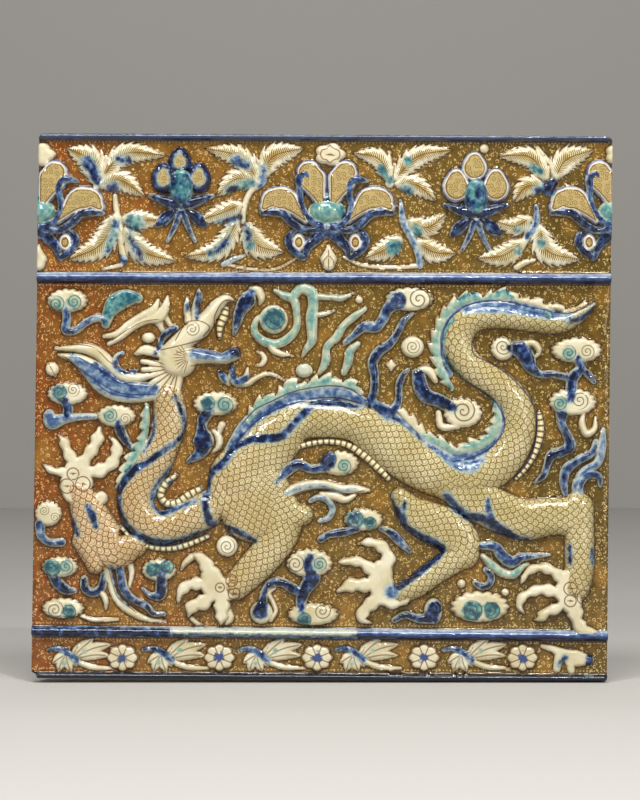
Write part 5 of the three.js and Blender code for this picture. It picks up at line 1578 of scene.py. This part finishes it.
def ground_body(node):
    """Brown lustre with small reserved dots and curls, redder to the left and olive to the right."""
    place = node("TexCoord", out=3)
    x, _, _ = node("SeparateXYZ", (place,), out=None)
    patch = node("MapRange", (spots(node, 30, 3.0, 0.7), 0.0, 1.0, -0.3, 0.3))
    east = node("MapRange", (x, -0.19, 0.19))
    shifted = node("Math", (east, patch), operation="ADD")
    tone = node("ValToRGB", (shifted,), stops=LUSTRE)
    uneven = node("MapRange", (spots(node, 5, 3.0, 0.2), 0.3, 0.7, 0.0, 0.5))
    tone = node("Mix", {0: uneven, 6: tone, 7: "#4A300F"}, **TINT)
    honey = node("MapRange", (spots(node, 26, 3.0, 2.1), 0.5, 0.68, 0.0, 0.55), **SMOOTH)
    tone = node("Mix", {0: honey, 6: tone, 7: "#A3742C"}, **TINT)
    cell = node("TexVoronoi", {"Vector": place, "Scale": per(3.1), "Randomness": 0.75})
    part = node("MapRange", (spots(node, 2.0, 1.0, 0.4), 0.46, 0.56), **SMOOTH)
    arc = node("Math", (stroke(node, cell, 0.3, 0.12, 0.04), part), operation="MULTIPLY")
    grain = node("TexVoronoi", {"Vector": place, "Scale": per(1.9), "Randomness": 0.95})
    dot = node("MapRange", (grain, 0.27, 0.14), **SMOOTH)
    scattered = node("MapRange", (spots(node, 6, 1.0, 0.8), 0.4, 0.5), **SMOOTH)
    dot = node("Math", (dot, scattered), operation="MULTIPLY")
    marks = node("Math", (arc, dot), operation="MAXIMUM")
    gold = node("Mix", {0: east, 6: "#E8BC7C", 7: "#DCC07C"}, **TINT)
    marks = node("Math", (marks, dotted_rows(node)), operation="MAXIMUM")
    _, _, inside = local_parts(node)
    # The dark band on the ground round each form is painted shade, with lustre pooled there too
    return dark_foot(node, drawn_over(node, tone, marks, 0.8, gold), inside, -1.6, -0.2, 0.75, "#33200C")


def bare_fritware():
    """Unglazed frit body, sandy and dry, with a lip of brown glaze run over from the face."""
    material, node, shader = start_material("bare fritware", 0.75)
    links = material.node_tree.links
    _, depth, _ = node("SeparateXYZ", (node("TexCoord", out=3),), out=None)
    tone = node("ValToRGB", (spots(node, 14, 5.0),), stops=[(0.3, "#B39C74"), (0.7, "#CBB992")])
    runs = node("Math", (spots(node, 9), 0.012, depth), operation="MULTIPLY_ADD")
    glaze = node("MapRange", (runs, -0.0165, -0.018), **SMOOTH)
    links.new(node("Mix", {0: glaze, 6: tone, 7: "#8A6A3A"}, **TINT), shader.inputs["Base Color"])
    bump = node("Bump", {"Height": spots(node, 1.2, 5.0), "Distance": 0.3 * MM, "Strength": 0.7})
    links.new(bump, shader.inputs["Normal"])
    return material


# The pigments from thin and pale to thick and dark, and the lustre from the left of the tile to the right
COBALT = [(0.0, "#ABB4B2"), (0.3, "#76899C"), (0.5, "#486284"), (0.72, "#263B66"), (1.0, "#0E1730")]
TURQUOISE = [(0.0, "#B6B9A2"), (0.3, "#8AA591"), (0.6, "#558886"), (1.0, "#205060")]
# On the mouldings this ramp also carries painted light, pale along the top of the roll and dark along its
# lower side
MOULDING_BLUES = [(0.25, "#B0B9B8"), (0.42, "#7E8EA4"), (0.62, "#334A7A"), (0.85, "#10183A")]
LUSTRE = [(0.0, "#94501E"), (0.22, "#8E6428"), (0.55, "#7C622A"), (1.0, "#655121")]
# Pitch of the small dots along the mouldings, and each row as its height at the middle and its tilt
BEAD_PITCH = 2.3
BEAD_ROWS = [
    (174, -0.004), (90, -0.0026), (80, -0.0026), (-142.3, -0.009), (-152.8, -0.009), (-171.5, -0.0053),
]
# Pitch and width of the dragon's scales, and turns of the curls on the clouds
SCALE_PITCH = 3.3
SCALE_WIDTH = 4.7
CURL_TURNS = 2.2

# What each finish is in the real tile, and what it gives the eye
FINISH_MATERIALS = {
    # brown lustre over the pressed ground: gives the dark, speckled, faintly metallic field, with painted
    # shade round each form
    "ground": lambda: glazed("brown lustre ground", ground_body, rough=0.12, metallic=0.2),
    # white slip under clear glaze: gives the pale forms with honey-coloured pools of glaze and painted shade
    # at their foot
    "cream": lambda: glazed("cream glaze", cream_body),
    # slip drawn over with lustre: gives the dragon its skin of scales
    "scales": lambda: glazed("scaled cream glaze", scale_body),
    # slip with lustre veins and stains that run: gives cream leaves with brown middles and blue pools
    "leaf": lambda: glazed("veined cream glaze", leaf_body, bleed=1.9),
    # slip with one lustre stroke: gives each lobe its drawn middle
    "lobe": lambda: glazed("lined cream lobe", lobe_body),
    # lustre scrolls inside a cream band and a violet rim, coarser than the real ones so that they show
    "petal": lambda: glazed("patterned lustre petal", petal_body),
    # slip barred with lustre: gives the row of belly plates and the teeth
    "plates": lambda: glazed("barred cream glaze", plate_body),
    # close lustre strokes: give the crests a greyer foot
    "band": lambda: glazed("hatched cream glaze", band_body),
    # slip with lustre lines round a cobalt heart: gives the small flowers of the lower border
    "rosette": lambda: glazed("lined cream rosette", rosette_body),
    # cobalt brushed along the roll: gives streaks that go from pale to nearly black, with painted light and
    # shade across the roll
    "moulding": lambda: glazed("brushed cobalt moulding", moulding_body),
    # unglazed frit: gives the dull sandy sides and back
    "bare": bare_fritware,
}
FINISHES = list(FINISH_MATERIALS)


def make_stage():
    """A floor of pale matt paper under the tile's lower edge and a sheet of it behind the tile."""
    sheet_back = 3.2
    width = 12
    paper, _, shader = start_material("pale paper", 0.9)
    shader.inputs["Base Color"].default_value = colour("#BEBBB5")
    bpy.ops.mesh.primitive_plane_add(size=width, location=(0, 0, BOTTOM_RIGHT[1] * MM))
    floor = bpy.context.object
    bpy.ops.mesh.primitive_plane_add(size=width, location=(0, sheet_back, 0), rotation=(math.pi / 2, 0, 0))
    sheet = bpy.context.object
    for part in (floor, sheet):
        part.data.materials.append(paper)


def make_light(name, place, size, power, aim=(0, 0, 0)):
    """A rectangle of light at this place, turned to its aim."""
    data = bpy.data.lights.new(name, "AREA")
    data.shape = "RECTANGLE"
    data.size, data.size_y = size
    data.energy = power
    lamp = bpy.data.objects.new(name, data)
    lamp.location = place
    lamp.rotation_euler = (Vector(aim) - Vector(place)).to_track_quat("-Z", "Y").to_euler()
    bpy.context.scene.collection.objects.link(lamp)


def make_camera():
    """Square to the tile's face, with the frame of the photograph."""
    distance = 2.0
    pixels_to_mm = 1 / 1.526
    photo_height = 800
    left_of_middle, above_middle = 4, 8
    seen_height = photo_height * pixels_to_mm * MM
    data = bpy.data.cameras.new("camera")
    data.sensor_fit = "VERTICAL"
    data.sensor_width = data.sensor_height = 36
    data.lens = 36 * distance / seen_height
    camera = bpy.data.objects.new("camera", data)
    camera.location = (
        -left_of_middle * pixels_to_mm * MM, -distance - SLAB_DEPTH * MM, above_middle * pixels_to_mm * MM)
    camera.rotation_euler = (math.pi / 2, 0, 0)
    bpy.context.scene.collection.objects.link(camera)
    bpy.context.scene.camera = camera


def make_world():
    """A dim grey room that fills the shadows."""
    world = bpy.data.worlds.new("dim room")
    world.use_nodes = True
    world.node_tree.nodes["Background"].inputs["Color"].default_value = (0.5, 0.5, 0.5, 1)
    world.node_tree.nodes["Background"].inputs["Strength"].default_value = 0.4
    bpy.context.scene.world = world
    bpy.context.scene.view_settings.view_transform = "Standard"


raise_borders()
raise_clouds()
raise_dragon()
tile = make_mesh()
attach(tile, "root")
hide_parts("frieze_tile")

make_stage()
make_world()
make_camera()
make_light("large soft light", (-0.1, -1.0, 1.6), (1.0, 0.6), 28)
make_light("low fill", (1.2, -1.6, 0.2), (0.8, 0.8), 6)
# The small lights give the glaze its points of light
make_light("small bright light", (0.3, -1.2, 1.1), (0.05, 0.05), 8)
make_light("second small light", (-0.8, -1.3, 0.8), (0.05, 0.05), 6)
make_light("third small light", (1.0, -1.3, 0.7), (0.05, 0.05), 4)
make_light("light for the sheet", (0, 1.2, 2.6), (1.6, 1.0), 20, aim=(0, 3.2, 0.4))
